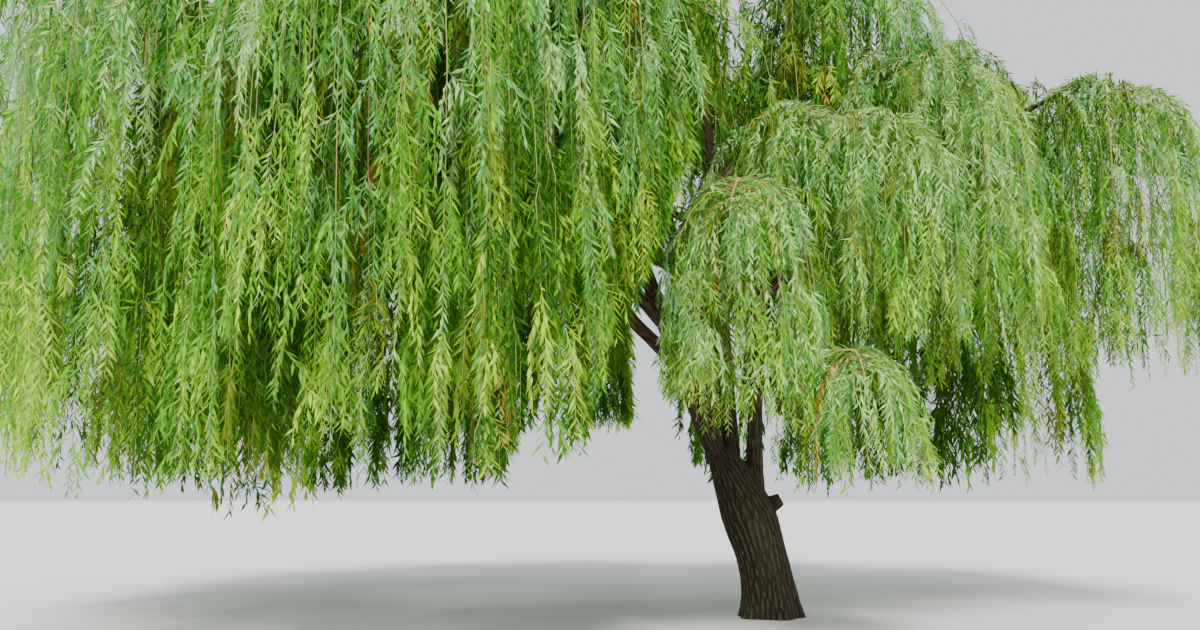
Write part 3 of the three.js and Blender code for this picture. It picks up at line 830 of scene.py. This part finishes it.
def weepingShoots(starts, bearings, rises, bends, steps):
    # A shoot's slope turns from its rise to straight down, as
    # (rise + 90 degrees) * exp(-distance / bend) - 90 degrees.
    run = (np.arange(steps) + 0.5) * step
    angle = (rises[:, None] + math.pi / 2) * np.exp(-run / bends[:, None]) - math.pi / 2
    along = bearings[:, None] * np.cos(angle)[..., None] + up * np.sin(angle)[..., None]
    places = starts[:, None] + (np.cumsum(along, 1) - along) * step
    return places, along


def freeCounts(owner, inner, places, lows, rule):
    # How many points a shoot has before it leaves its plume's space or the crown's box, hangs under
    # its low, or passes a curtain's edge. A plume's space is what lies within its spread of its
    # line, under its top, and nearer to that line than to any other, give or take the rule's
    # beyond and margin. An inner shoot has the whole crown's box.
    owners = np.broadcast_to(owner[:, None], places.shape[:2])
    distances = lineDistances(places)
    own = np.take_along_axis(distances, owners[..., None], -1)[..., 0]
    bad = roomBeside(owners, distances, own) < rule["margin"]
    bad |= own > spreads[owners] + rule["beyond"]
    bad |= places[..., 2] > tops[owners]
    bad &= ~inner[:, None]
    bad |= places[..., 2] < lows[:, None]
    overHem = np.clip(lows - hems[owner], 0, curtainRagged["most"])[:, None]
    for curtain in curtains:
        edge = np.interp(places[..., 0], curtain["x"], curtain["z"]) + curtainRagged["share"] * overHem
        bad |= (places[..., 1] * curtain["side"] > curtain["beyond"]) & (places[..., 2] < edge)
    edgeX = curtainEdge["x"] + curtainEdge["lean"] * (places[..., 2] - curtainEdge["z"])
    edgeTop = curtainEdge["top"] + curtainEdge["ragged"] * draw(places[:, 0, 0], 21)[:, None]
    pastEdge = (places[..., 0] > edgeX) & (places[..., 2] < edgeTop)
    bad |= pastEdge & np.isin(owner, edgePlumes)[:, None]
    bad |= ((places < crownLow) | (places > crownHigh)).any(-1)
    bad[:, 0] = False
    return np.where(bad.any(1), bad.argmax(1), places.shape[1])


def fitted(owner, inner, starts, bearings, rises, bends, lows, steps, rule, leastBend):
    # Tries the wide arch first, then narrower ones, until a shoot hangs free down to its low or
    # has its whole length, and keeps the longest.
    places, along = weepingShoots(starts, bearings, rises, bends, steps.max())
    counts = np.zeros(len(starts), int)
    narrowed = bends.copy()
    unfinished = np.ones(len(starts), bool)
    while unfinished.any():
        some = np.flatnonzero(unfinished)
        tried, triedAlong = weepingShoots(starts[some], bearings[some], rises[some], narrowed[some],
                                          steps.max())
        free = freeCounts(owner[some], inner[some], tried, lows[some], rule)
        free = np.minimum(free, steps[some])
        longer = free > counts[some]
        better = some[longer]
        places[better], along[better], counts[better] = tried[longer], triedAlong[longer], free[longer]
        endZ = tried[np.arange(len(some)), free - 1, 2]
        narrowed[some] = narrowed[some] * rule["narrowing"]
        done = (endZ < lows[some] + 2 * step) | (free >= steps[some]) | (narrowed[some] < leastBend[some])
        unfinished[some[done]] = False
    return places, along, counts


def pointsAt(grown, which, position):  # straight between the two nearest points of a shoot
    low = np.minimum(np.floor(position).astype(int), grown["counts"][which] - 1)
    high = np.minimum(low + 1, grown["counts"][which] - 1)
    part = np.clip(position - low, 0, 1)[..., None]
    places = grown["places"][which, low] * (1 - part) + grown["places"][which, high] * part
    along = grown["along"][which, low] * (1 - part) + grown["along"][which, high] * part
    return places, unit(along)


def ringShares(rings):  # (i / last) ^ 1.5: the rings of a tube are closer together where it arches
    return (np.arange(rings) / (rings - 1)) ** 1.5


def onTube(grown, which, share, rule):
    # The place at a share of a shoot's tube, straight between its two nearest rings.
    shares = ringShares(rule["rings"])
    after = np.clip(np.searchsorted(shares, share), 1, rule["rings"] - 1)
    part = ((share - shares[after - 1]) / (shares[after] - shares[after - 1]))[..., None]
    last = grown["counts"][which] - 1
    start, _ = pointsAt(grown, which, shares[after - 1] * last)
    end, _ = pointsAt(grown, which, shares[after] * last)
    _, along = pointsAt(grown, which, share * last)
    return start * (1 - part) + end * part, along


def swayed(grown, lows, sway):
    # Each shoot drifts aside as distance ^ 1.5, with a slow wave, and is cut where it leaves its space.
    total = len(grown["owner"])
    run = np.arange(grown["places"].shape[1]) * step
    sideways = turned(grown["bearings"], chance.random(total) * 2 * math.pi)
    pace = between(*swaying["wave"], chance.random((total, 1)))
    wave = np.sin(run * pace + 6 * chance.random((total, 1)))
    start = np.sin(6 * chance.random((total, 1)))
    drift = sway * (run ** 1.5 * swaying["drift"] + (wave + start) * np.minimum(1, run))
    places = grown["places"] + sideways[:, None] * drift[..., None] * chance.random((total, 1, 1))
    free = freeCounts(grown["owner"], grown["inner"], places, lows - swaying["under"], swaying)
    along = unit(np.gradient(places, axis=1) / step)
    return {**grown, "places": places, "along": along, "counts": np.minimum(grown["counts"], free)}


def hung(rule, owner, inner, starts, bearings, rises, bends, lows, steps, leastBend, marks):
    # One group of shoots: fitted in their spaces, then swayed. marks tells each one's place on its
    # carrier, its tress's lightness, which is painted light and shade dealt to whole tresses at random,
    # and its tuft.
    places, along, counts = fitted(owner, inner, starts, bearings, rises, bends, lows, steps, rule,
                                   leastBend)
    grown = {"owner": owner, "inner": inner, "places": places, "along": along, "counts": counts,
             "bearings": bearings, "radii": np.full(len(owner), rule["radius"]), **marks}
    return swayed(grown, lows, rule["sway"])


def keptOf(grown, kept):
    return {key: value[kept] for key, value in grown.items()}


def joined(first, second):  # two groups of shoots as one, with the shorter rows of points filled up
    longest = max(first["places"].shape[1], second["places"].shape[1])
    both = {}
    for key in first:
        parts = (first[key], second[key])
        if key in ("places", "along"):
            parts = [np.pad(part, ((0, 0), (0, longest - part.shape[1]), (0, 0)), "edge") for part in parts]
        both[key] = np.concatenate(parts)
    return both


def growLeaders():
    owner = np.arange(len(plumes))
    ends = [alongLimb(limb, 1) for limb in limbs]
    starts = np.array([places[0] for places, _, _ in ends])
    bearings = unit(np.array([along[0] for _, along, _ in ends]) * (1, 1, 0))
    steps = (spreads * leader["length"] / step).astype(int) + 1
    places, along = weepingShoots(starts, bearings, np.full(len(owner), entry["slope"]),
                                  spreads * leader["bend"], steps.max())
    inner = np.zeros(len(owner), bool)
    counts = np.minimum(freeCounts(owner, inner, places, hems, twig), steps)
    counts = np.maximum(counts, leader["leastPoints"])
    return {"owner": owner, "inner": inner, "places": places, "along": along, "counts": counts,
            "bearings": bearings, "radii": np.full(len(owner), leader["radius"]),
            "carried": np.zeros(len(owner)), "light": np.full(len(owner), 0.5), "tuft": owner * 1.0}


def growTwigs(leaders):
    # Place on the leader, side, rise, bend and low are drawn as the source draws them.
    owner, shares, seeds, odd = [], [], [], []
    for index, spread in enumerate(spreads):
        count = round(spread / twig["spacing"])
        number = np.arange(round((spread * twig["perMetre"] + twig["more"]) * fullness[index]))
        i, turn = number % count, number // count
        seed = (index + 1) * twig["seedStep"] + i + twig["roundSeed"] * turn
        share = (i + (twig["scatter"] * draw(seed, 1) + twig["roundShift"] * turn) % 1) / count
        owner.append(np.full(len(number), index))
        shares.append(share)
        seeds.append(seed)
        odd.append((i + turn) % 2)
    owner, share = np.concatenate(owner), np.concatenate(shares)
    seed, odd = np.concatenate(seeds), np.concatenate(odd)
    starts, _ = onTube(leaders, owner, between(*twig["from"], share), leader)
    away = between(*twig["away"], share) * np.where(odd == 1, 1, -1)
    bearings = turned(leaders["bearings"][owner], away)
    rises = between(*twig["rise"], draw(seed, 3))
    bends = between(*twig["bend"], draw(seed, 4)) * spreads[owner]
    hemShare = between(*twig["hemRoom"], draw(seed, 5) ** twig["hemPower"])
    lows = between(hems[owner], tops[owner], hemShare) - twig["lowered"] * lowered[owner]
    steps = ((starts[:, 2] + spreads[owner] - lows) / step).astype(int) + 1
    # each twig's tress draws its painted light and shade at random
    grown = hung(twig, owner, np.zeros(len(owner), bool), starts, bearings, rises, bends, lows, steps,
                 twig["narrowest"] * spreads[owner],
                 {"carried": share, "light": draw(seed, 6), "tuft": seed})
    return keptOf(grown, grown["counts"] * step > twig["shortest"] * hangScale[owner])


def growInnerTwigs():
    # Evenly along each limb, to both sides in turn. Each counts with the plume whose line is nearest.
    starts, bearings, odd = [], [], []
    for limb in limbs:
        closer = innerTwig["closer"].get(plumeNames[limb["plume"]], 1)
        count = int(limb["length"] * closer / innerTwig["spacing"])
        share = ((np.arange(count) + chance.random(count)) / count) ** innerTwig["crowding"]
        share = between(*innerTwig["from"], share)
        places, along, _ = alongLimb(limb, share)
        starts.append(places)
        bearings.append(unit(along * (1, 1, 0)))
        odd.append(np.arange(count) % 2)
    starts, bearings, odd = (np.concatenate(each) for each in (starts, bearings, odd))
    total = len(starts)
    owner = np.argmin(lineDistances(starts), 1)
    away = between(*innerTwig["away"], chance.random(total)) * np.where(odd == 1, 1, -1)
    bearings = turned(bearings, away)
    rises = between(*innerTwig["rise"], chance.random(total))
    bends = between(*innerTwig["bend"], chance.random(total))
    lows = between(*innerTwig["low"], chance.random(total))
    lows = np.maximum(hems[owner] + innerTwig["overHem"], lows)
    steps = (between(*innerTwig["length"], chance.random(total)) / step).astype(int)
    # each inner twig's tress draws its painted light and shade at random
    grown = hung(twig, owner, np.ones(total, bool), starts, bearings, rises, bends, lows, steps,
                 bends * innerTwig["narrowest"],
                 {"carried": np.full(total, 0.5), "light": chance.random(total),
                  "tuft": 5000.0 + np.arange(total)})
    return keptOf(grown, grown["counts"] * step > twig["shortest"])


def numbered(counts):  # for each of many in groups: its group, and its number in that group
    which = np.repeat(np.arange(len(counts)), counts)
    return which, np.arange(len(which)) - np.repeat(np.cumsum(counts) - counts, counts)


def growShoots(carriers):
    # Shoots to both sides of their carriers in turn, from the arch down to the end.
    lengths = (carriers["counts"] - 1) * step
    perCarrier = np.maximum(2, (lengths / shoot["spacing"]).astype(int))
    which, number = numbered(perCarrier)
    total = len(which)
    owner, inner = carriers["owner"][which], carriers["inner"][which]
    tuft = number // shoot["inTuft"]
    tuftSeed = which * 31.0 + tuft * 7.0
    tufts = -(-perCarrier // shoot["inTuft"])[which]
    spread = shoot["tuftSpread"]
    place = (tuft + (1 - spread) * draw(tuftSeed, 8) + spread * chance.random(total)) / tufts
    share = np.minimum(place, 1) ** shoot["crowding"]
    share = between(*shoot["from"], share)
    starts, carrierAlong = onTube(carriers, which, share, twig)
    slope = np.arcsin(np.clip(carrierAlong[:, 2], -1, 1))
    away = between(*shoot["away"], chance.random(total)) * np.where(number % 2, 1, -1)
    bearings = turned(carriers["bearings"][which], away)
    rises = shoot["follow"] * slope + between(*shoot["rise"], chance.random(total))
    bends = between(*shoot["bend"], chance.random(total) ** shoot["bendPower"])
    tress = np.arange(len(lengths))  # all shoots of one carrier end about as low
    tressHem = between(*shoot["hemRoom"], draw(tress + 0.3, 11)) - lowered[carriers["owner"]]
    lows = hems[owner] + (tressHem[which] + shoot["ragged"] * chance.random(total)) * hangScale[owner]
    innerLow = between(*innerTwig["low"], draw(tress + 0.6, 13)) - shoot["ragged"]
    lows = np.where(inner, np.maximum(lows, innerLow[which]), lows)
    hang = between(*shoot["length"], chance.random(total))
    hang = hang * between(shoot["shortHang"], 1, hangScale[owner])
    steps = (hang / step).astype(int) + 1
    grown = hung(shoot, owner, inner, starts, bearings, rises, bends, lows, steps,
                 bends * shoot["narrowing"] ** shoot["tries"],
                 {"carried": share, "light": carriers["light"][which], "tuft": tuftSeed})
    return keptOf(grown, grown["counts"] * step > shoot["shortest"])


def makeTwigs(name, groups, materials):
    # Each shoot is a tube of a few rings, in one of the tones.
    allPlaces, allFaces, allTones, corner = [], [], [], 0
    for grown, rule in groups:
        rings, sides = rule["rings"], rule["sides"]
        share = ringShares(rings)
        which = np.arange(len(grown["counts"]))[:, None]
        places, along = pointsAt(grown, which, share * (grown["counts"][:, None] - 1))
        radii = between(grown["radii"][:, None], rule["tipRadius"], share)
        side = np.cross(grown["bearings"], up)[:, None]
        grid = tubeGrid(places, along, side, radii[..., None], sides)
        faces = gridFaces(rings, sides, closedEnds=False)
        offsets = np.arange(len(which)) * rings * sides
        allPlaces.append(grid.reshape(-1, 3))
        allFaces.append((faces[None] + offsets[:, None, None]).reshape(-1, 4) + corner)
        allTones.append(np.repeat(chance.integers(0, len(materials), len(which)), len(faces)))
        corner += len(which) * rings * sides
    piece = addPiece(name, np.concatenate(allPlaces), np.concatenate(allFaces), materials,
                     np.concatenate(allTones), smooth=True)
    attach(piece, "root")
    print(name + ":", 2 * len(piece.data.polygons), "triangles")


# Leaves

leaf = {
    "spacing": 0.0365,
    "bareStart": 0.03,
    "length": (0.11, 0.17),
    "inside": 1.5,         # how much larger the leaves hidden inside are
    "behind": 1.15,        # and those of the plumes whose middle is past behindY
    "behindY": 2,
    "tipShrink": 0.4,      # how much smaller the last leaves of a shoot are
    "width": 0.2,          # of the length
    "fold": 0.14,          # how far the edges lie under the midrib, of the width
    "off": (math.radians(24), math.radians(60)),
    "sag": 0.3,            # how far its own weight turns it down
    "fan": math.radians(55),
    "roll": math.radians(38),
    "tilt": 0.35,          # how far a blade leans out from level
    "jitter": 0.6,
}

crown = {
    "axis": (-1.9, 0.7),   # x and y of its middle
    "outsideAtLine": 0.4,  # how far outside a plume's own line counts, from 0 to 1
    "outsideGain": 0.75,   # and how fast that grows outwards, for each spread
}

# How much painted light the domes round the trunk get: paler tones stand in for the light on them
paintedDomeLight = {"trunk_dome": 1.6, "front_dome": 1.3, "middle_dome": 1.1, "right_dome": 0.8,
             "low_dome": 0.6, "far_right": 0.5}
domeLight = np.array([paintedDomeLight.get(name, 0.0) for name in plumeNames])


def middlesOf(grown):  # the point half way along each shoot
    return pointsAt(grown, np.arange(len(grown["owner"])), 0.5 * (grown["counts"] - 1.0))[0]


def outsideOf(grown):
    # From 0 on the side of its plume that faces the crown's axis to 1 on the side that faces out.
    owner, middle = grown["owner"], middlesOf(grown)
    fromAxis = np.hypot(middle[:, 0] - crown["axis"][0], middle[:, 1] - crown["axis"][1])
    plumeAxis = np.hypot(middleX - crown["axis"][0], middleY - crown["axis"][1])[owner]
    past = crown["outsideGain"] * (fromAxis - plumeAxis) / spreads[owner]
    return np.clip(past + crown["outsideAtLine"], 0, 1)


# A narrow leaf, folded along its midrib: distance along it, side, and whether it is an edge
leafOutline = np.array([(0.0, 0.0, 0.0), (0.38, -0.5, 1.0), (1.0, 0.0, 0.0), (0.38, 0.5, 1.0)])
leafFaces = np.array([(0, 2, 1), (0, 3, 2)])


def leavesOn(grown, rule):
    # Leaves stand apart by the spacing, in two ranks that fan out, and hang off their shoot.
    lengths = (grown["counts"] - 1) * step
    perShoot = np.maximum(0, ((lengths - leaf["bareStart"]) / leaf["spacing"]).astype(int))
    which, number = numbered(perShoot)
    run = leaf["bareStart"] + (number + leaf["jitter"] * chance.random(len(which))) * leaf["spacing"]
    inLeaf = (run < rule["leavesPart"][0]) | (run > rule["leavesPart"][1] * lengths[which])
    which, number, run = which[inLeaf], number[inLeaf], run[inLeaf]
    total = len(which)
    places, along = onTube(grown, which, run / lengths[which], rule)
    side = unit(np.cross(along, grown["bearings"][which] + 1e-3))
    out = np.cross(side, along)
    rank = (chance.random(len(lengths)) * math.pi)[which] + (number % 2) * math.pi
    fan = rank + chance.normal(0, leaf["fan"] / 2, total)
    outward = side * np.cos(fan)[:, None] + out * np.sin(fan)[:, None]
    off = between(*leaf["off"], chance.random(total))[:, None]
    direction = unit(along * np.cos(off) + outward * np.sin(off) - up * leaf["sag"])
    across = unit(np.cross(direction, up + leaf["tilt"] * outward))
    face = np.cross(across, direction)
    roll = chance.normal(0, leaf["roll"], total)[:, None]
    across, face = (across * np.cos(roll) + face * np.sin(roll),
                    face * np.cos(roll) - across * np.sin(roll))
    toTip = run / lengths[which]
    size = between(*leaf["length"], chance.random(total)) * (1 - leaf["tipShrink"] * toTip ** 4)
    owner = grown["owner"][which]
    hidden = between(leaf["inside"], 1, outsideOf(grown)[which])
    size = size * np.where(domeLight[owner] > 0, 1, hidden)
    size = size * np.where(middleY[owner] > leaf["behindY"], leaf["behind"], 1)
    return {"places": places, "direction": direction, "across": across, "face": face, "size": size,
            "spray": which, "owner": owner}


# Each tone's look, and where it is common. Silver and blue green sprays are high up, outside and on
# the domes round the trunk: their glaucous colour is the leaves' own, and their gathering there is
# painted sky sheen and painted light. Fresh and yellow green ones are low down, outside and at the
# tips, as painted light shining through the leaves, and deep green and olive ones inside, as painted
# shade. What a tone doesn't say stands in evenTone.
leafTones = {
    "silver willow leaf": {
        "colour": "#b2e48e", "roughness": 0.5, "through": 0.38,
        "high": 2.6, "sheenFrom": 0.38, "litDome": 0.1, "litDomeTop": 1.5, "outwards": (0.1, 1.1), "tress": 0.5},
    "blue green willow leaf": {
        "colour": "#78c070", "roughness": 0.52, "through": 0.38,
        "high": 1.1, "sheenFrom": 0.25, "litDome": 0.15, "outwards": (0.4, 1.0), "tress": -0.5},
    "mid green willow leaf": {
        "colour": "#62a52c", "roughness": 0.55, "through": 0.36, "anywhere": 0.3, "tress": -0.3},
    "fresh green willow leaf": {
        "colour": "#82c630", "roughness": 0.55, "through": 0.42,
        "anywhere": 0.15, "low": 0.3, "tip": 0.2, "outwards": (0.3, 1.3), "tress": 0.8},
    "yellow green willow leaf": {
        "colour": "#bce43e", "roughness": 0.55, "through": 0.45,
        "anywhere": 0.04, "lowTipGlow": 0.7, "outwards": (0.2, 1.2), "tress": 1.5},
    "deep green willow leaf": {
        "colour": "#3a7016", "roughness": 0.55, "through": 0.3,
        "hidden": 1.1, "insideShadePower": 1.5, "low": 0.12, "fewInDomes": 1.0, "tress": -1.2},
    "olive willow leaf": {
        "colour": "#768520", "roughness": 0.55, "through": 0.35, "hidden": 0.22, "low": 0.05},
    "turning willow leaf": {
        "colour": "#cfa436", "roughness": 0.58, "through": 0.35, "anywhere": 0.014, "tress": 1.0},
}
evenTone = {
    "anywhere": 0.0, "high": 0.0, "sheenFrom": 0.0, "low": 0.0, "tip": 0.0, "lowTipGlow": 0.0,
    "litDome": 0.0, "litDomeTop": 0.0, "fewInDomes": 0.0, "hidden": 0.0, "insideShadePower": 1.0,
    "outwards": (1.0, 1.0),  # from the inside to the outside
    "tress": 0.0,            # more on light tresses, or under 0 on dark ones
}


def leafMaterial(name, tone):
    # A thin waxy leaf: a dull green sheet that shines a little, and lets light through.
    material = bpy.data.materials.new(name)
    material.use_nodes = True
    tree = material.node_tree
    tree.nodes.clear()
    top = addNode(tree, "ShaderNodeBsdfPrincipled", {
        "Base Color": linear(tone["colour"]), "Roughness": tone["roughness"],
        "Specular IOR Level": 0.13}).outputs[0]
    behind = addNode(tree, "ShaderNodeBsdfTranslucent", {"Color": linear(tone["colour"])}).outputs[0]
    both = addNode(tree, "ShaderNodeMixShader", {0: tone["through"]}, {1: top, 2: behind}).outputs[0]
    addNode(tree, "ShaderNodeOutputMaterial", {}, {"Surface": both})
    return material


def tonesFor(grown):
    # One tone for each spray, by chance. A tone's weight is the sum of how common it is anywhere,
    # high up, low down, at a tress's tip, on the domes round the trunk and hidden inside, times how that
    # goes outwards, times exp(tress * the tress's lightness from -1 to 1 - fewInDomes * the domes' light).
    # Weights high up, outside and on the domes deal painted light and sheen, at low tips painted light
    # through the leaves, inside painted shade, and the tress's lightness painted light and shade.
    owner = grown["owner"]
    height = np.clip((middlesOf(grown)[:, 2] - hems[owner]) / (tops - hems)[owner], 0, 1)
    outside, tip = outsideOf(grown), grown["carried"] ** 2
    # light is each tress's painted light and shade from -1 to 1; pale is the painted light on the domes
    # round the trunk
    light, pale = 2 * grown["light"] - 1, domeLight[owner]
    weights = []
    for tone in leafTones.values():
        rule = {**evenTone, **tone}
        common = (rule["anywhere"] + rule["high"] * np.clip(height - rule["sheenFrom"], 0, 1)
                  + pale * (rule["litDome"] + rule["litDomeTop"] * height)
                  + (rule["low"] + rule["lowTipGlow"] * tip) * (1 - height) + rule["tip"] * tip
                  + rule["hidden"] * (1 - outside) ** rule["insideShadePower"])
        weights.append(common * between(*rule["outwards"], outside)
                       * np.exp(rule["tress"] * light - rule["fewInDomes"] * pale))
    weights = np.stack(weights, 1)
    shares = np.cumsum(weights / weights.sum(1, keepdims=True), 1)
    return (draw(grown["tuft"], 19)[:, None] > shares).sum(1).clip(0, len(leafTones) - 1)


toneStrip = {"edge": 0.2, "width": 0.6}  # shares of a strip's width


def makeLeaves(name, masses, leaves, tones, materials):
    # Every leaf is the outline set into its own frame, with its two edges under the midrib.
    inside = np.isin(leaves["owner"], [plumeNames.index(mass) for mass in masses])
    chosen = {key: value[inside] for key, value in leaves.items()}
    size = chosen["size"][:, None, None]
    along, half, edge = (leafOutline[None, :, i, None] for i in range(3))
    places = chosen["places"][:, None] + size * (
        chosen["direction"][:, None] * along
        + chosen["across"][:, None] * half * leaf["width"]
        - chosen["face"][:, None] * edge * leaf["fold"] * leaf["width"]
    )
    count = len(places)
    faces = leafFaces[None] + np.arange(count)[:, None, None] * len(leafOutline)
    faceTones = np.repeat(tones[inside], len(leafFaces))
    piece = addPiece(name, places.reshape(-1, 3), faces.reshape(-1, 3), materials, faceTones)
    # On the map each tone has an upright strip of its own, with room on both sides.
    corners = leafFaces.ravel()
    acrossStrip = toneStrip["edge"] + toneStrip["width"] * (leafOutline[corners, 1] + 0.5)
    u = (tones[inside][:, None] + acrossStrip) / len(leafTones)
    v = np.broadcast_to(leafOutline[corners, 0], u.shape)
    toneStrips = piece.data.uv_layers.new(name="OFBake")
    toneStrips.data.foreach_set("uv", np.stack((u, v), -1).astype(np.float32).ravel())
    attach(piece, "root")
    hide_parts(*["foliage_" + mass for mass in masses])
    print(name + ":", len(piece.data.polygons), "triangles")


leafPieces = {
    "leaves_front_left": ["left_front", "front_left"],
    "leaves_far_left": ["far_left", "left_back", "left_inner"],
    "leaves_front_middle": ["front_middle", "inner_front", "trunk_dome", "middle_dome", "front_dome",
                            "low_dome"],
    "leaves_right": ["right_dome", "right_inner", "far_right", "right_back"],
    "leaves_back": ["back_left", "back_middle", "back_right", "back_inner"],
    "leaves_upper": ["upper_front", "upper_rear", "upper_back"],
    "leaves_top": ["upper_left", "top", "upper_right"],
}


def twigMaterial(name, colour, roughness):
    # A young twig's smooth skin, with a faint sheen.
    material = bpy.data.materials.new(name)
    material.use_nodes = True
    surface = material.node_tree.nodes["Principled BSDF"]
    surface.inputs["Base Color"].default_value = linear(colour)
    surface.inputs["Roughness"].default_value = roughness
    surface.inputs["Specular IOR Level"].default_value = 0.35
    return material


twigTones = {
    # the tone's name: colour, roughness
    "yellow willow twig": ("#a39a52", 0.55),
    "olive willow twig": ("#6f7a35", 0.6),
    "brown willow twig": ("#75643f", 0.6),
}
shootTones = {
    "pale willow shoot": ("#b5b95a", 0.5),
    "green willow shoot": ("#8da544", 0.5),
}


def growFoliage():
    leaders = growLeaders()
    twigs = joined(growTwigs(leaders), growInnerTwigs())
    shoots = growShoots(joined(leaders, twigs))
    print("shoots grown:", len(twigs["owner"]), "twigs,", len(shoots["owner"]), "shoots")
    twigBark = [twigMaterial(name, *tone) for name, tone in twigTones.items()]
    shootBark = [twigMaterial(name, *tone) for name, tone in shootTones.items()]
    makeTwigs("twigs", [(leaders, leader), (twigs, twig)], twigBark)
    behind = middleY[shoots["owner"]] > 0
    makeTwigs("hanging_shoots_front", [(keptOf(shoots, ~behind), shoot)], shootBark)
    makeTwigs("hanging_shoots_back", [(keptOf(shoots, behind), shoot)], shootBark)
    carriers = [(shoots, shoot), (twigs, twig), (leaders, leader)]
    grown = [leavesOn(group, rule) for group, rule in carriers]
    tones = np.concatenate([tonesFor(group)[own["spray"]] for (group, _), own in zip(carriers, grown)])
    leaves = {key: np.concatenate([own[key] for own in grown]) for key in grown[0]}
    print("leaves grown:", len(leaves["owner"]))
    materials = [leafMaterial(name, tone) for name, tone in leafTones.items()]
    for name, masses in leafPieces.items():
        makeLeaves(name, masses, leaves, tones, materials)


growFoliage()

# Floor and light

studio = {
    "floorSize": 400,
    "floorColour": "#d9d8d2",
    "skyColour": "#e9eff5",
    "skyStrength": 1.25,
    "sunStrength": 5.2,
    "sunAngle": 18,          # degrees across: a soft, wide light
    "sunFrom": (42, 0, -6),  # degrees it is turned from straight down
}


def addStudio(settings):
    half = settings["floorSize"] / 2
    corners = np.array([(-half, -half, 0), (half, -half, 0), (half, half, 0), (-half, half, 0)], float)
    floorMaterial = bpy.data.materials.new("pale studio floor")
    floorMaterial.use_nodes = True
    surface = floorMaterial.node_tree.nodes["Principled BSDF"]
    surface.inputs["Base Color"].default_value = linear(settings["floorColour"])
    surface.inputs["Roughness"].default_value = 0.9
    floor = addPiece("studio_floor", corners, np.array([(0, 1, 2, 3)]), [floorMaterial])
    world = bpy.data.worlds.new("studioSky")
    bpy.context.scene.world = world
    world.use_nodes = True
    world.node_tree.nodes["Background"].inputs["Color"].default_value = linear(settings["skyColour"])
    world.node_tree.nodes["Background"].inputs["Strength"].default_value = settings["skyStrength"]
    sun = bpy.data.objects.new("softSun", bpy.data.lights.new("softSun", "SUN"))
    sun.data.energy = settings["sunStrength"]
    sun.data.angle = math.radians(settings["sunAngle"])
    sun.rotation_euler = [math.radians(turn) for turn in settings["sunFrom"]]
    bpy.context.scene.collection.objects.link(sun)


addStudio(studio)
